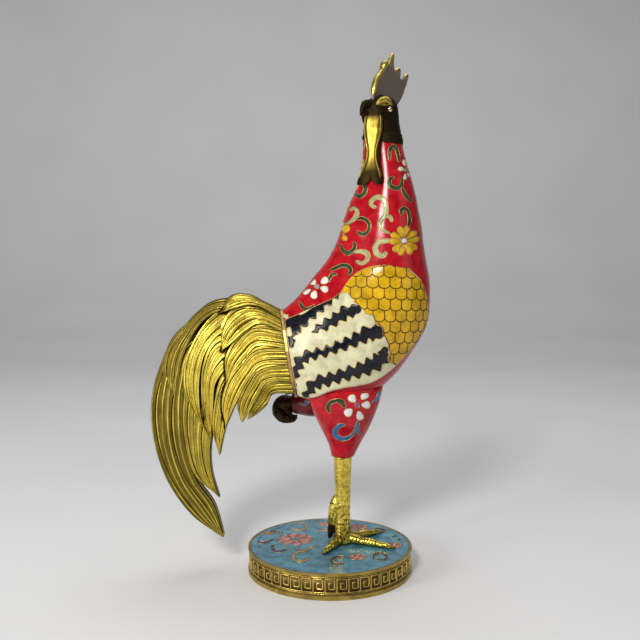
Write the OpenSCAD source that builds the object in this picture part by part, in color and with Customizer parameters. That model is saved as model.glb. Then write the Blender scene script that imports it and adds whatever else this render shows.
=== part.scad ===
// Cloisonne rooster standing on one leg on a round enamelled base.
// The bird faces +X, its right side faces -Y, and the base rests on z = 0.

/* [Base] */
// Diameter across the base
base_d = 90; // [76:1:110]
// Height of the base
base_h = 13.5; // [11:0.5:20]
// Wall of the base ring
base_wall = 4; // [3:0.1:6]
// Width of the gilt lip round the enamelled plate
lip_w = 1.5; // [1:0.1:2]
// Height of the lip's edge
lip_h = 1.6; // [1:0.1:2.4]
// Height of the foot moulding
foot_h = 2.6; // [1.5:0.1:3.4]
// Depth of the sunk band between the mouldings
band_depth = 0.9; // [0.5:0.1:1.5]
// Thickness of the enamelled plate
plate_t = 1.5; // [1:0.1:2.2]
// Width of the inner ledge that carries the plate
ledge_w = 2; // [1.2:0.1:3]

/* [Body] */
// Distance from the centre of the fan of body sections to the belly
body_reach = 152.6; // [140:0.2:165]
// Widest width of the body
body_w = 52; // [44:1:60]
// Wall of the copper body
body_wall = 1.6; // [1:0.1:2.5]
// Turn of the body sections from the neck's top to the tail joint
body_turn = 80.4; // [76:0.2:84]
// Distance of the fan centre behind the standing foot
body_set_back = 48; // [44:0.5:52]

/* [Legs] */
// Height of the bare shank from the base to the enamelled thigh
shank_h = 49.2; // [42:0.2:56]
// Diameter of the shank under the thigh
shank_d = 10.2; // [9:0.1:11.5]
// Height of the standing thigh below the belly
thigh_h = 28.3; // [24:0.1:32]
// Diameter of the thigh's lower end
thigh_end_d = 12.6; // [11.8:0.1:14]
// Greatest length of the standing thigh along the bird
thigh_l = 46; // [38:1:50]
// Length of the longest toe
toe_l = 31; // [26:0.5:34]
// Diameter of a toe at its root
toe_d = 6.4; // [5.5:0.1:7.5]
// Place of the foot ahead of the base's centre
foot_x = 7; // [0:0.5:10]
// Place of the foot towards the bird's left
foot_y = 2; // [0:0.5:4]
// Length of the raised thigh
raised_l = 37; // [32:0.5:40]

/* [Wings] */
// Thickness of a wing at its upper edge
wing_t = 1.3; // [0.8:0.1:2]
// Extra thickness along the wing's lower edge
wing_lip = 1.5; // [0.5:0.1:2]

/* [Tail] */
// Height of the tail from its lowest tip to its crown
tail_h = 134; // [120:1:150]
// Thickness of the tail across both halves
tail_w = 34; // [30:0.5:36]
// Depth of the grooves along the feathers
groove_depth = 0.9; // [0.4:0.1:1.2]
// Length of the gilt rim round the body's rear opening
collar_l = 1.4; // [1:0.1:2.4]
// Height of the rim above the enamel
collar_rise = 0.4; // [0.2:0.1:0.8]
// Depth of the plug in the body
plug_in = 7; // [5:0.5:10]
// Depth of the plug in the tail
plug_out = 5; // [3:0.5:7]

/* [Head] */
// Height of the head above the neck
head_h = 21.5; // [18.5:0.5:24.5]
// Length of the head without its beak
head_l = 21; // [18.5:0.5:23]
// Width of the head
head_w = 17.4; // [15:0.2:19]
// Turn of the beak away from the breast
head_turn = -130; // [-145:1:-115]
// Turn of the hanging wattles back from the beak's line
wattle_turn = 12; // [0:1:18]
// Length of the beak
beak_l = 7; // [5:0.5:9]
// Diameter of an eye
eye_d = 4.2; // [3:0.1:5]

/* [Comb and wattles] */
// Length of the comb
comb_l = 32.5; // [28:0.5:36]
// Height of the comb
comb_h = 28.6; // [24:0.2:32]
// Thickness of the comb
comb_t = 2.6; // [2:0.1:3.2]
// Length of a wattle
wattle_h = 40.5; // [35:0.5:44]
// Width of one wattle
wattle_w = 6.6; // [5.6:0.1:7.6]
// Thickness of a wattle
wattle_t = 1.5; // [1:0.1:2]

/* [Fastening] */
// Diameter of the stud under the foot
stud_d = 5; // [4:0.5:6]
// Width of the nut across its flats
nut_w = 8; // [7.5:0.5:10]
// Height of the nut
nut_h = 4; // [3:0.5:5]
// Diameter of the washer
washer_d = 15; // [12:0.5:18]
// Thickness of the washer
washer_t = 1; // [0.8:0.1:1.6]

/* [Fit] */
// Clearance between pieces that seat on each other
fit = 0.15; // [0.1:0.01:0.2]

/* [Hidden] */

brass = "goldenrod";
dark_brass = "darkgoldenrod";
red_enamel = "firebrick";
cream_enamel = "cornsilk";
blue_enamel = "skyblue";

// Side of the bird: -1 is its right, 1 its left
right = -1;
left = 1;

// Body stations run from the neck's top, 0, to the tail joint, 1
body_steps = 20;
body_sides = 26;
back_shares = [0.383, 0.385, 0.39, 0.397, 0.402, 0.406, 0.42, 0.446, 0.476, 0.504, 0.531, 0.572, 0.611];
breast_shares = [0.515, 0.53, 0.564, 0.606, 0.656, 0.72, 0.812, 0.892, 0.938, 0.976, 1, 0.985, 0.925];
width_shares = [0.385, 0.43, 0.5, 0.58, 0.67, 0.77, 0.87, 0.95, 0.99, 1, 0.97, 0.86, 0.66];
// How much wider the sections are towards the breast and belly
egg_share = 0.15;
// Height of the fan centre above the belly
fan_rise_share = 0.944;
fan_x = foot_x - body_set_back;
fan_z = base_h + shank_h + thigh_h + fan_rise_share * body_reach;

// Catmull-Rom value of a list of numbers or points at s from 0 to 1
function along(list, s) =
    let (last = len(list) - 1, x = min(max(s, 0), 1) * last, i = min(floor(x), last - 1), f = x - i,
         b = list[i], c = list[i + 1],
         a = i > 0 ? list[i - 1] : 2 * b - c,
         d = i < last - 1 ? list[i + 2] : 2 * c - b)
    0.5 * (2 * b + (c - a) * f + (2 * a - 5 * b + 4 * c - d) * f * f + (3 * b - a - 3 * c + d) * f * f * f);

function inner_reach(s) = body_reach * along(back_shares, s);
function outer_reach(s) = body_reach * along(breast_shares, s);
function mid_reach(s) = (inner_reach(s) + outer_reach(s)) / 2;
function half_depth(s) = (outer_reach(s) - inner_reach(s)) / 2;
function half_width(s) = body_w / 2 * along(width_shares, s);

// Section of the body at station s, grown by off: [reach, across] at angle phi from the breast
function section_point(s, phi, off) =
    [mid_reach(s) + (half_depth(s) + off) * cos(phi),
     (half_width(s) + off) * sin(phi) * (1 + egg_share * cos(phi))];

// Point of the body's surface, grown by off, on the given side
function body_point(s, phi, off, side) =
    let (p = section_point(s, phi, off), turn = s * body_turn)
    [fan_x + p[0] * cos(turn), side * p[1], fan_z - p[0] * sin(turn)];

function body_ring(s, off) =
    [for (j = [0 : body_sides - 1]) body_point(s, j * 360 / body_sides, off, left)];

neck_x = fan_x + mid_reach(0);
neck_z = fan_z;
neck_r = half_depth(0);

// Six times the signed volume under one triangle
function under(points, f) = points[f[0]] * cross(points[f[1]], points[f[2]]);
function volume6(points, faces, i = 0, sum = 0) =
    i == len(faces) ? sum : volume6(points, faces, i + 1, sum + under(points, faces[i]));
function turned(faces) = [for (f = faces) [f[2], f[1], f[0]]];

// Solid through a list of rings with the same even number of points, ends closed by strips
module loft(rings, ring_closed = false) {
    n = len(rings[0]);
    m = len(rings);
    last = ring_closed ? m - 1 : m - 2;
    points = [for (r = rings) each r];
    sides = [for (i = [0 : last], j = [0 : n - 1])
        let (row = i * n, next = (i + 1) % m * n, k = (j + 1) % n,
             a = row + j, b = row + k, c = next + k, d = next + j)
        each [[a, b, c], [a, c, d]]];
    strip = [for (k = [0 : n / 2 - 2])
        each [[k, n - 1 - k, n - 2 - k], [k, n - 2 - k, k + 1]]];
    far_strip = [for (f = strip) [for (v = [f[2], f[1], f[0]]) v + (m - 1) * n]];
    faces = ring_closed ? sides : concat(sides, strip, far_strip);
    polyhedron(points, volume6(points, faces) > 0 ? turned(faces) : faces, convexity = 8);
}

// Flat disc whose axis points along dir
module disc(at, dir, r, sides) {
    slice = r / 50;
    translate(at)
        rotate([0, acos(dir[2] / norm(dir)), atan2(dir[1], dir[0])])
            translate([0, 0, -slice / 2]) cylinder(r = r, h = slice, $fn = sides);
}

// Round limb of hulls through stations [x, y, z, radius]
module limb(stations, steps, sides) {
    at = [for (i = [0 : steps]) along(stations, i / steps)];
    place = [for (a = at) [a[0], a[1], a[2]]];
    way = [for (i = [0 : steps]) place[min(i + 1, steps)] - place[max(i - 1, 0)]];
    for (i = [0 : steps - 1]) hull() {
        disc(place[i], way[i], at[i][3], sides);
        disc(place[i + 1], way[i + 1], at[i + 1][3], sides);
    }
}

// Blunt finger of hulls between balls [x, y, z, radius]
module finger(balls, sides) {
    for (i = [0 : len(balls) - 2]) hull()
        for (b = [balls[i], balls[i + 1]])
            translate([b[0], b[1], b[2]]) sphere(r = b[3], $fn = sides);
}

// Base ring: lip, sunk band and foot moulding outside, ledge for the plate inside
base_r = base_d / 2;
band_r = base_r - band_depth;
plate_r = base_r - lip_w - fit;
plate_z = base_h - plate_t;
bevel = band_depth / 2;
cut_over = base_wall;

module base_rim() {
    color(brass) rotate_extrude($fn = 128) polygon([
        [base_r - base_wall, 0],
        [base_r, 0],
        [base_r, foot_h - bevel],
        [base_r - bevel, foot_h],
        [band_r, foot_h],
        [band_r, base_h - lip_h],
        [base_r - bevel, base_h - lip_h],
        [base_r, base_h - lip_h + bevel],
        [base_r, base_h],
        [base_r - lip_w, base_h],
        [base_r - lip_w, plate_z - fit],
        [base_r - base_wall - ledge_w, plate_z - fit],
        [base_r - base_wall - ledge_w, plate_z - plate_t],
        [base_r - base_wall, plate_z - plate_t - ledge_w]]);
}

module base_plate() {
    color(blue_enamel) difference() {
        translate([0, 0, plate_z]) cylinder(r = plate_r, h = plate_t, $fn = 128);
        stud_hole();
    }
}

module stud_hole() {
    translate([foot_x, foot_y, -cut_over])
        cylinder(d = stud_d + 2 * fit, h = base_h + 2 * cut_over, $fn = 48);
}

washer_top = plate_z - fit / 3;

module base_washer() {
    color("silver") difference() {
        translate([foot_x, foot_y, washer_top - washer_t]) cylinder(d = washer_d, h = washer_t, $fn = 64);
        stud_hole();
    }
}

nut_top = washer_top - washer_t - fit / 3;

module base_nut() {
    color("silver") difference() {
        translate([foot_x, foot_y, nut_top - nut_h]) cylinder(d = nut_w / cos(30), h = nut_h, $fn = 6);
        stud_hole();
    }
}

// Standing leg: shank, foot with three toes and claws, back toe, stud and tenon
thigh_z = base_h + shank_h;
toe_turns = [-119, -22, 34];
toe_length_shares = [0.74, 1, 0.93];
shank_shares = [1, 0.93, 0.87, 0.83, 0.83, 0.87, 0.99, 1.18];
tenon_d = shank_d * 0.53;
tenon_l = shank_d * 0.88;

// Heights and radii of a toe's joints, as shares of its length and root diameter
toe_joint_shares = [[0, 0.5, 0.5], [0.32, 0.44, 0.42], [0.38, 0.37, 0.35], [0.62, 0.38, 0.36],
                    [0.82, 0.3, 0.26], [1, 0.09, 0.07]];

module toe(length) {
    finger([for (j = toe_joint_shares) [length * j[0], 0, toe_d * j[1], toe_d * j[2]]], 7);
}

module standing_leg() {
    steps = len(shank_shares) - 1;
    color(brass) {
        for (i = [0 : steps - 1]) hull() {
            for (k = [i, i + 1])
                translate([foot_x, foot_y, thigh_z - fit - (shank_h - fit) * k / steps])
                    translate([0, 0, k == steps ? 0 : -shank_d / 50])
                        cylinder(d = shank_d * shank_shares[k], h = shank_d / 50, $fn = 18);
        }
        for (i = [0 : len(toe_turns) - 1])
            translate([foot_x, foot_y, base_h]) rotate([0, 0, toe_turns[i]])
                toe(toe_l * toe_length_shares[i]);
        back_toe();
        translate([foot_x, foot_y, nut_top - nut_h - nut_h / 4])
            cylinder(d = stud_d, h = base_h - nut_top + nut_h + nut_h, $fn = 24);
        translate([foot_x, foot_y, thigh_z - tenon_l / 2])
            cylinder(d = tenon_d, h = tenon_l * 3 / 2, $fn = 24);
    }
}

// Back toe, pressed along the shank and resting its claw on the base
back_toe_shares = [[-0.34, 0.1, 0.8, 0.26], [-0.44, 0.16, 0.68, 0.3], [-0.55, 0.28, 0.42, 0.28],
                   [-0.66, 0.4, 0.2, 0.22], [-0.74, 0.5, 0.06, 0.1]];

module back_toe() {
    rise = shank_h * 0.56;
    finger([for (b = back_toe_shares)
        [foot_x + shank_d * b[0], foot_y + shank_d * b[1], base_h + rise * b[2], shank_d * b[3] * 0.8]], 7);
}

// Standing thigh: egg-shaped slices [height, forward, aside, half length, half width] as shares
thigh_shares = [[0, 0, 0, 0.115, 0.115], [0.2, 0.02, -0.03, 0.175, 0.15], [0.5, 0.03, -0.1, 0.27, 0.21],
                [0.8, 0.035, -0.16, 0.36, 0.255], [1.1, 0.04, -0.2, 0.435, 0.27],
                [1.3, 0.045, -0.21, 0.455, 0.25], [1.48, 0.04, -0.2, 0.38, 0.2],
                [1.62, 0.04, -0.18, 0.25, 0.12]];
thigh_steps = 10;
// Turn of the uppermost slice, which brings its front under the breast
thigh_turn = 10;

module thigh_slice(s) {
    t = along(thigh_shares, s);
    end_share = max(1 - s * thigh_steps / 2, 0);
    grow = end_share * (thigh_end_d / 2 - thigh_shares[0][3] * thigh_l);
    translate([foot_x + t[1] * thigh_l, foot_y + t[2] * thigh_l, thigh_z + t[0] * thigh_h])
        rotate([0, 0, thigh_turn * s]) scale([t[3] * thigh_l + grow, t[4] * thigh_l + grow, 1])
            cylinder(r = 1, h = thigh_h / 200, $fn = 28);
}

module standing_thigh() {
    color(red_enamel) difference() {
        for (i = [0 : thigh_steps - 1]) hull() {
            thigh_slice(i / thigh_steps);
            thigh_slice((i + 1) / thigh_steps);
        }
        body_room();
        wing_room(right, thigh_l / 3);
        translate([foot_x, foot_y, thigh_z - tenon_l])
            cylinder(d = tenon_d + 2 * fit, h = 2 * tenon_l + 2 * fit, $fn = 24);
    }
}

// Raised thigh, tucked back along the left of the belly: shares of its length, last is the radius
raised_shares = [[0.3, 0.33, 0.34, 0.31], [0.1, 0.36, 0.18, 0.31], [-0.1, 0.37, 0.07, 0.29],
                 [-0.28, 0.39, 0, 0.25], [-0.43, 0.41, -0.03, 0.2], [-0.565, 0.42, -0.04, 0.155]];
raised_root = [foot_x - thigh_l * 0.15, 0, thigh_z + thigh_h];
raised_steps = 9;
function raised_place(share) =
    [raised_root[0] + raised_l * share[0], raised_root[1] + raised_l * share[1],
     raised_root[2] + raised_l * share[2], raised_l * share[3]];
raised_path = [for (s = raised_shares) raised_place(s)];
raised_end = raised_path[len(raised_path) - 1];

module raised_thigh() {
    color(red_enamel) difference() {
        limb(raised_path, raised_steps, 24);
        body_room();
        wing_room(left, thigh_l / 4);
        translate([raised_end[0] - tenon_l, raised_end[1], raised_end[2]])
            rotate([0, 90, 0]) cylinder(d = tenon_d + 2 * fit, h = 2 * tenon_l, $fn = 24);
    }
}

// Raised leg: tenon, bent hock and a clenched foot of three toes, as shares of the hock's diameter
hock_d = shank_d * 0.88;
hock_shares = [[0, 0, 0, 0.5], [-0.2, 0, -0.08, 0.48], [-0.33, -0.02, -0.32, 0.46],
               [-0.36, -0.03, -0.6, 0.42]];
clench_shares = [[-0.36, 0, -0.6, 0.34], [-0.12, 0, -0.88, 0.3], [0.24, 0, -0.96, 0.26],
                 [0.56, 0, -0.97, 0.18], [0.74, 0, -0.9, 0.07]];
toe_spread_shares = [-0.42, 0, 0.42];

module raised_leg() {
    x = raised_end[0] - hock_d * 0.5 - fit;
    color(brass) {
        translate([x, raised_end[1], raised_end[2]]) {
            finger([for (h = hock_shares) hock_d * h], 9);
            for (spread = toe_spread_shares)
                finger([for (c = clench_shares)
                    [hock_d * c[0], hock_d * (spread + c[1]), hock_d * c[2], hock_d * c[3]]], 6);
            rotate([0, 90, 0]) cylinder(d = tenon_d, h = tenon_l + hock_d * 0.4, $fn = 24);
        }
    }
}

// Room that the body takes in its neighbours
module body_room() {
    loft([for (i = [0 : body_steps]) body_ring(i / body_steps, fit)]);
}

module body_shell() {
    outer = [for (i = [0 : body_steps]) body_ring(i / body_steps, 0)];
    inner = [for (i = [body_steps : -1 : 0]) body_ring(i / body_steps, -body_wall)];
    color(red_enamel) loft(concat(outer, inner), true);
}

// Wing: raised panel over the body between two edges, angles as shares of a half turn
wing_from_share = 0.505;
wing_to_share = 0.999;
wing_steps = 20;
wing_rows = 8;
wing_upper_shares = [0.37, 0.51, 0.59, 0.64, 0.672, 0.683, 0.68, 0.69, 0.71, 0.733, 0.755, 0.77, 0.785];
wing_lower_shares = [0.255, 0.155, 0.125, 0.125, 0.148, 0.172, 0.195, 0.225, 0.265, 0.29, 0.28, 0.215, 0.14];

// Height of the wing's face above the body, rounded at its edges and lifted at the lower one
function wing_rise(t, v) =
    let (edge = min(t, 1 - t) * 14, side = min(v, 1 - v) * 8,
         round = min(1, edge) * min(1, side))
    (wing_t + wing_lip * pow(1 - v, 2)) * (0.45 + 0.55 * sqrt(min(max(round, 0), 1)));

function wing_ring(t, side, grow, out) =
    let (s = wing_from_share + (wing_to_share - wing_from_share) * t,
         top = 180 * along(wing_upper_shares, t), bottom = 180 * along(wing_lower_shares, t))
    concat(
        [for (k = [0 : wing_rows])
            let (v = k / wing_rows)
            body_point(s, bottom + (top - bottom) * v, fit + wing_rise(t, v) + out, side)],
        [for (k = [wing_rows : -1 : 0])
            body_point(s, bottom + (top - bottom) * k / wing_rows, fit - grow, side)]);

module wing(side) {
    loft([for (i = [0 : wing_steps]) wing_ring(i / wing_steps, side, 0, 0)]);
}

// Room over and under a wing, kept clear by the thighs
module wing_room(side, out) {
    loft([for (i = [0 : wing_steps]) wing_ring(i / wing_steps, side, wing_t, out)]);
}

module wing_right() {
    color(cream_enamel) wing(right);
}

module wing_left() {
    color(cream_enamel) wing(left);
}

// Tail joint: the plane of the last body section, in and back directions
joint_in = [cos(body_turn), 0, -sin(body_turn)];
joint_back = [-sin(body_turn), 0, -cos(body_turn)];
function joint_point(across, aside, back) =
    [fan_x + across * joint_in[0] + back * joint_back[0], aside,
     fan_z + across * joint_in[2] + back * joint_back[2]];

function joint_oval(off) =
    [for (j = [0 : body_sides - 1]) section_point(1, j * 360 / body_sides, off)];

// Straight oval bar along the joint's axis, between two distances behind the joint
module oval_bar(off, from, to) {
    loft([for (back = [from, to]) [for (p = joint_oval(off)) joint_point(p[0], p[1], back)]]);
}

module tail_collar() {
    color(brass) difference() {
        oval_bar(collar_rise, fit / 3, collar_l);
        oval_bar(-body_wall, -collar_l, 2 * collar_l);
    }
}

module tail_plug() {
    color(dark_brass) oval_bar(-body_wall - fit, -plug_in, collar_l + plug_out);
}

// Tail feathers: upper edge, lower edge [back, up] as shares of the tail's height from the
// joint's centre, then their distances from the middle plane as shares of half its thickness:
// upper and lower edge at the root, upper and lower edge at the tip
covert_shares = [
    [[[-0.009, 0.168], [-0.096, 0.212], [-0.159, 0.241], [-0.229, 0.235], [-0.268, 0.172]],
     [[-0.002, 0.13], [-0.096, 0.188], [-0.153, 0.2], [-0.209, 0.185], [-0.266, 0.168]],
     [0.22, 0.62, 0.14, 0.5]],
    [[[-0.005, 0.145], [-0.124, 0.2], [-0.214, 0.187], [-0.264, 0.116], [-0.26, 0.024]],
     [[0.006, 0.085], [-0.098, 0.129], [-0.157, 0.102], [-0.207, 0.06], [-0.258, 0.018]],
     [0.5, 0.84, 0.48, 0.6]],
    [[[0.001, 0.11], [-0.124, 0.128], [-0.199, 0.073], [-0.245, -0.007], [-0.242, -0.1]],
     [[0.015, 0.03], [-0.109, 0.042], [-0.159, -0.002], [-0.202, -0.052], [-0.241, -0.108]],
     [0.72, 0.97, 0.56, 0.6]],
    [[[0.011, 0.055], [-0.122, 0.039], [-0.185, -0.028], [-0.239, -0.105], [-0.261, -0.194],
      [-0.247, -0.282]],
     [[0.025, -0.03], [-0.094, -0.034], [-0.147, -0.089], [-0.184, -0.155], [-0.218, -0.223],
      [-0.248, -0.294]],
     [0.9, 1.02, 0.5, 0.52]],
    [[[0.022, -0.012], [-0.102, -0.036], [-0.159, -0.105], [-0.198, -0.187], [-0.186, -0.262]],
     [[0.037, -0.1], [-0.069, -0.101], [-0.113, -0.154], [-0.145, -0.215], [-0.178, -0.27]],
     [1, 0.92, 0.5, 0.48]],
    [[[0.034, -0.08], [-0.066, -0.095], [-0.108, -0.143], [-0.141, -0.2], [-0.16, -0.255]],
     [[0.046, -0.155], [-0.053, -0.157], [-0.081, -0.201], [-0.118, -0.237], [-0.162, -0.267]],
     [0.94, 0.5, 0.4, 0.25]]];
sickle_shares = [
    [[[-0.197, 0.219], [-0.295, 0.162], [-0.366, 0.074], [-0.411, -0.031], [-0.415, -0.143],
      [-0.373, -0.248], [-0.312, -0.344]],
     [[-0.2, 0.118], [-0.278, 0.075], [-0.328, 0.002], [-0.348, -0.085], [-0.352, -0.175], [-0.343, -0.264],
      [-0.31, -0.352]],
     [0.36, 0.6, 0.22, 0.28]],
    [[[-0.17, 0.1], [-0.29, 0.067], [-0.335, -0.03], [-0.346, -0.134], [-0.339, -0.238], [-0.31, -0.33]],
     [[-0.188, -0.002], [-0.243, -0.055], [-0.286, -0.117], [-0.296, -0.193], [-0.302, -0.269],
      [-0.308, -0.34]],
     [0.56, 0.6, 0.24, 0.24]],
    [[[-0.199, 0], [-0.265, -0.086], [-0.293, -0.192], [-0.303, -0.301], [-0.28, -0.402]],
     [[-0.162, -0.124], [-0.205, -0.19], [-0.237, -0.261], [-0.26, -0.335], [-0.276, -0.413]],
     [0.52, 0.5, 0.24, 0.2]],
    [[[-0.12, 0.225], [-0.279, 0.221], [-0.365, 0.169], [-0.433, 0.091], [-0.487, 0.006], [-0.503, -0.092],
      [-0.462, -0.176]],
     [[-0.12, 0.15], [-0.264, 0.171], [-0.337, 0.132], [-0.385, 0.063], [-0.419, -0.014], [-0.437, -0.096],
      [-0.455, -0.182]],
     [0.1, 0.42, 0.12, 0.2]],
    [[[-0.2, 0.2], [-0.424, 0.109], [-0.511, -0.035], [-0.554, -0.195], [-0.545, -0.362], [-0.493, -0.522],
      [-0.399, -0.66], [-0.276, -0.754]],
     [[-0.2, 0.1], [-0.375, 0.005], [-0.411, -0.124], [-0.421, -0.258], [-0.41, -0.392], [-0.368, -0.519],
      [-0.3, -0.622], [-0.262, -0.752]],
     [0.08, 0.3, 0.08, 0.14]],
    [[[-0.25, 0.1], [-0.388, -0.041], [-0.42, -0.189], [-0.418, -0.342], [-0.382, -0.489], [-0.286, -0.58]],
     [[-0.2, -0.025], [-0.262, -0.138], [-0.283, -0.251], [-0.311, -0.364], [-0.31, -0.478],
      [-0.279, -0.592]],
     [0.3, 0.34, 0.18, 0.1]]];
joint_x = joint_point(mid_reach(1), 0, collar_l + fit)[0];
joint_z = joint_point(mid_reach(1), 0, collar_l + fit)[2];
// Profile across a feather: [place, rise in grooves], ridges stand up and grooves lie at 0
feather_profile_shares = [[0, 0.1], [0.14, 1.2], [0.34, 0.3], [0.5, 1.5], [0.68, 0.4], [0.86, 1.2],
                          [1, 0.1]];
middle_over = tail_w / 20;

function tail_point(p, aside) = [joint_x + tail_h * p[0], aside, joint_z + tail_h * p[1]];

function feather_ring(f, t) =
    let (a = along(f[0], t), b = along(f[1], t), fade = min(1, 6 * (1 - t)),
         ya = tail_w / 2 * (f[2][0] + (f[2][2] - f[2][0]) * t),
         yb = tail_w / 2 * (f[2][1] + (f[2][3] - f[2][1]) * t))
    concat(
        [for (q = feather_profile_shares)
            tail_point(a + (b - a) * q[0], -(ya + (yb - ya) * q[0] + groove_depth * q[1] * fade))],
        [tail_point(b, middle_over), tail_point((a + b) / 2, middle_over), tail_point(a, middle_over)]);

module feather(f, steps) {
    loft([for (i = [0 : steps]) feather_ring(f, i / steps)]);
}

// Root of the tail: the joint's oval drawn in by hulls as it runs back among the feathers
root_steps = 8;
root_l_share = 0.16;

module tail_root() {
    module slab(i) {
        back = collar_l + fit + tail_h * root_l_share * i / root_steps;
        off = -groove_depth - tail_w * 0.3 * pow(i / root_steps, 2);
        oval_bar(off, back, back + tail_h / 500);
    }
    for (i = [0 : root_steps - 1]) hull() {
        slab(i);
        slab(i + 1);
    }
}

module tail_half() {
    difference() {
        union() {
            tail_root();
            for (i = [0 : len(sickle_shares) - 1]) feather(sickle_shares[i], 8);
            for (i = [0 : len(covert_shares) - 1]) feather(covert_shares[i], 7);
        }
        translate([-2 * tail_h, -fit / 3, -tail_h]) cube([4 * tail_h, tail_h, 4 * tail_h]);
        oval_bar(body_w, -tail_h, collar_l + fit / 3);
        oval_bar(-body_wall, -tail_h, collar_l + plug_out + fit);
    }
}

module tail_right() {
    color(brass) tail_half();
}

module tail_left() {
    color(brass) mirror([0, 1, 0]) tail_half();
}

// Head: slices [height, forward, half length, half width] as shares, turned towards the beak
head_shares = [[0, 0, 0.49, 0.59], [0.15, 0, 0.475, 0.565], [0.35, 0.02, 0.47, 0.52],
               [0.55, 0.03, 0.475, 0.5], [0.75, 0.03, 0.45, 0.46], [0.9, 0.02, 0.36, 0.36],
               [1, 0, 0.18, 0.2]];
head_steps = 8;
beak_shares = [[-0.15, 0.745, 0.175], [0.36, 0.735, 0.145], [0.64, 0.63, 0.1], [0.76, 0.465, 0.03]];
jaw_shares = [[-0.15, 0.535, 0.125], [0.43, 0.51, 0.065]];
brow_shares = [[0.05, 0.44, 0.76, 0.07], [0.31, 0.41, 0.865, 0.095], [0.51, 0.29, 0.745, 0.065],
               [0.36, 0.45, 0.4, 0.04]];
eye_shares = [0.24, 0.45, 0.6];

module in_head() {
    translate([neck_x, 0, neck_z + fit / 3]) rotate([0, 0, head_turn]) children();
}

module head_slice(s) {
    t = along(head_shares, s);
    translate([t[1] * head_l, 0, t[0] * head_h])
        scale([t[2] * head_l, t[3] * head_w, 1]) cylinder(r = 1, h = head_h / 200, $fn = 24);
}

module beak() {
    finger([for (b = beak_shares) [head_l / 2 + beak_l * b[0], 0, head_h * b[1], head_w * b[2]]], 9);
    finger([for (b = jaw_shares) [head_l / 2 + beak_l * b[0], 0, head_h * b[1], head_w * b[2]]], 7);
}

module head() {
    color(dark_brass) in_head() difference() {
        union() {
            for (i = [0 : head_steps - 1]) hull() {
                head_slice(i / head_steps);
                head_slice((i + 1) / head_steps);
            }
            beak();
            for (side = [right, left])
                finger([for (b = brow_shares)
                    [head_l * b[0], side * head_w * b[1], head_h * b[2], head_w * b[3]]], 6);
            spigot();
        }
        comb_plate(fit);
        eye_balls(fit);
        for (side = [right, left]) wattle(side, fit);
    }
}

// Spigot that fills the neck's opening, in the head's turned frame
module spigot() {
    rotate([0, 0, -head_turn]) translate([0, 0, -neck_r * 0.7])
        linear_extrude(neck_r) polygon([for (j = [0 : body_sides - 1])
            section_point(0, j * 360 / body_sides, -body_wall - fit) - [mid_reach(0), 0]]);
}

// Comb: outline [forward, up] as shares of its length and height, foot sunk in the head's slot
comb_shares = [[0.274, -0.017], [0.274, 0.238], [0.246, 0.353], [0.191, 0.472], [0.052, 0.629],
               [0.006, 0.748], [-0.046, 0.815], [-0.123, 0.787], [-0.172, 0.762], [-0.237, 0.909],
               [-0.292, 1], [-0.305, 0.944], [-0.302, 0.839], [-0.317, 0.72], [-0.348, 0.706],
               [-0.43, 0.762], [-0.49, 0.74], [-0.5, 0.66], [-0.505, 0.573], [-0.563, 0.58],
               [-0.643, 0.671], [-0.7, 0.703], [-0.726, 0.664], [-0.692, 0.497], [-0.64, 0.392],
               [-0.569, 0.245], [-0.48, 0.119], [-0.37, 0.017], [-0.246, -0.017]];
comb_z = head_h * 0.79;

module comb_plate(grow) {
    translate([0, comb_t / 2 + grow, comb_z]) rotate([90, 0, 0])
        linear_extrude(comb_t + 2 * grow)
            polygon([for (c = comb_shares) [comb_l * c[0] + sign(c[0]) * grow, comb_h * c[1] - grow]]);
}

module comb() {
    color(brass) in_head() comb_plate(0);
}

// Distance of the neck's surface from the axis of its top, z above that top, towards dir
function neck_station(drop) =
    let (s = asin(drop / mid_reach(0)) / body_turn) asin(drop / mid_reach(s)) / body_turn;
function neck_front(z, dir) =
    let (s = neck_station(max(-z, 0)), mid = fan_x + mid_reach(s) * cos(s * body_turn) - neck_x,
         a = half_depth(s), b = half_width(s),
         p = pow(cos(dir) / a, 2) + pow(sin(dir) / b, 2),
         q = -mid * cos(dir) / (a * a), r = mid * mid / (a * a) - 1)
    (sqrt(q * q - p * r) - q) / p;

// Wattles: [down, off the neck, inner edge, outer edge] as shares, each a hollow leaf with a
// ridge along its inner edge and a curled rim along its outer one
wattle_shares = [[0, -0.045, 0.3, 0.62], [0.1, -0.03, 0.26, 0.68], [0.2, -0.015, 0.12, 0.74],
                 [0.28, -0.005, 0, 0.76], [0.42, 0, 0, 0.68], [0.58, 0, 0, 0.6], [0.74, 0, 0, 0.7],
                 [0.88, 0.004, 0, 0.96], [0.95, 0.012, 0.12, 1.03], [1, 0.02, 0.5, 1]];
wattle_curl_shares = [[0, 0.42], [0.22, 0.1], [0.5, -0.05], [0.78, 0.12], [0.93, 0.55], [1, 1]];
wattle_top = head_h * 0.67;

module wattle(side, grow) {
    rings = [for (w = wattle_shares)
        let (z = wattle_top - wattle_h * w[0], curls = wattle_curl_shares, n = len(curls) - 1,
             x = neck_front(z, head_turn + wattle_turn) + fit + wattle_h * w[1],
             edge = [for (q = curls)
                 side * (fit / 3 + wattle_w * (w[2] + (w[3] - w[2]) * q[0]) + grow * (2 * q[0] - 1))])
        concat(
            [for (k = [0 : n]) [x + wattle_t * (1 + curls[k][1]) + grow, edge[k], z]],
            [for (k = [n : -1 : 0]) [x + wattle_t * max(curls[k][1], 0) * 0.6 - grow, edge[k], z]])];
    rotate([0, 0, wattle_turn]) loft(rings);
}

module wattle_right() {
    color(brass) in_head() wattle(right, 0);
}

module wattle_left() {
    color(brass) in_head() wattle(left, 0);
}

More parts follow.
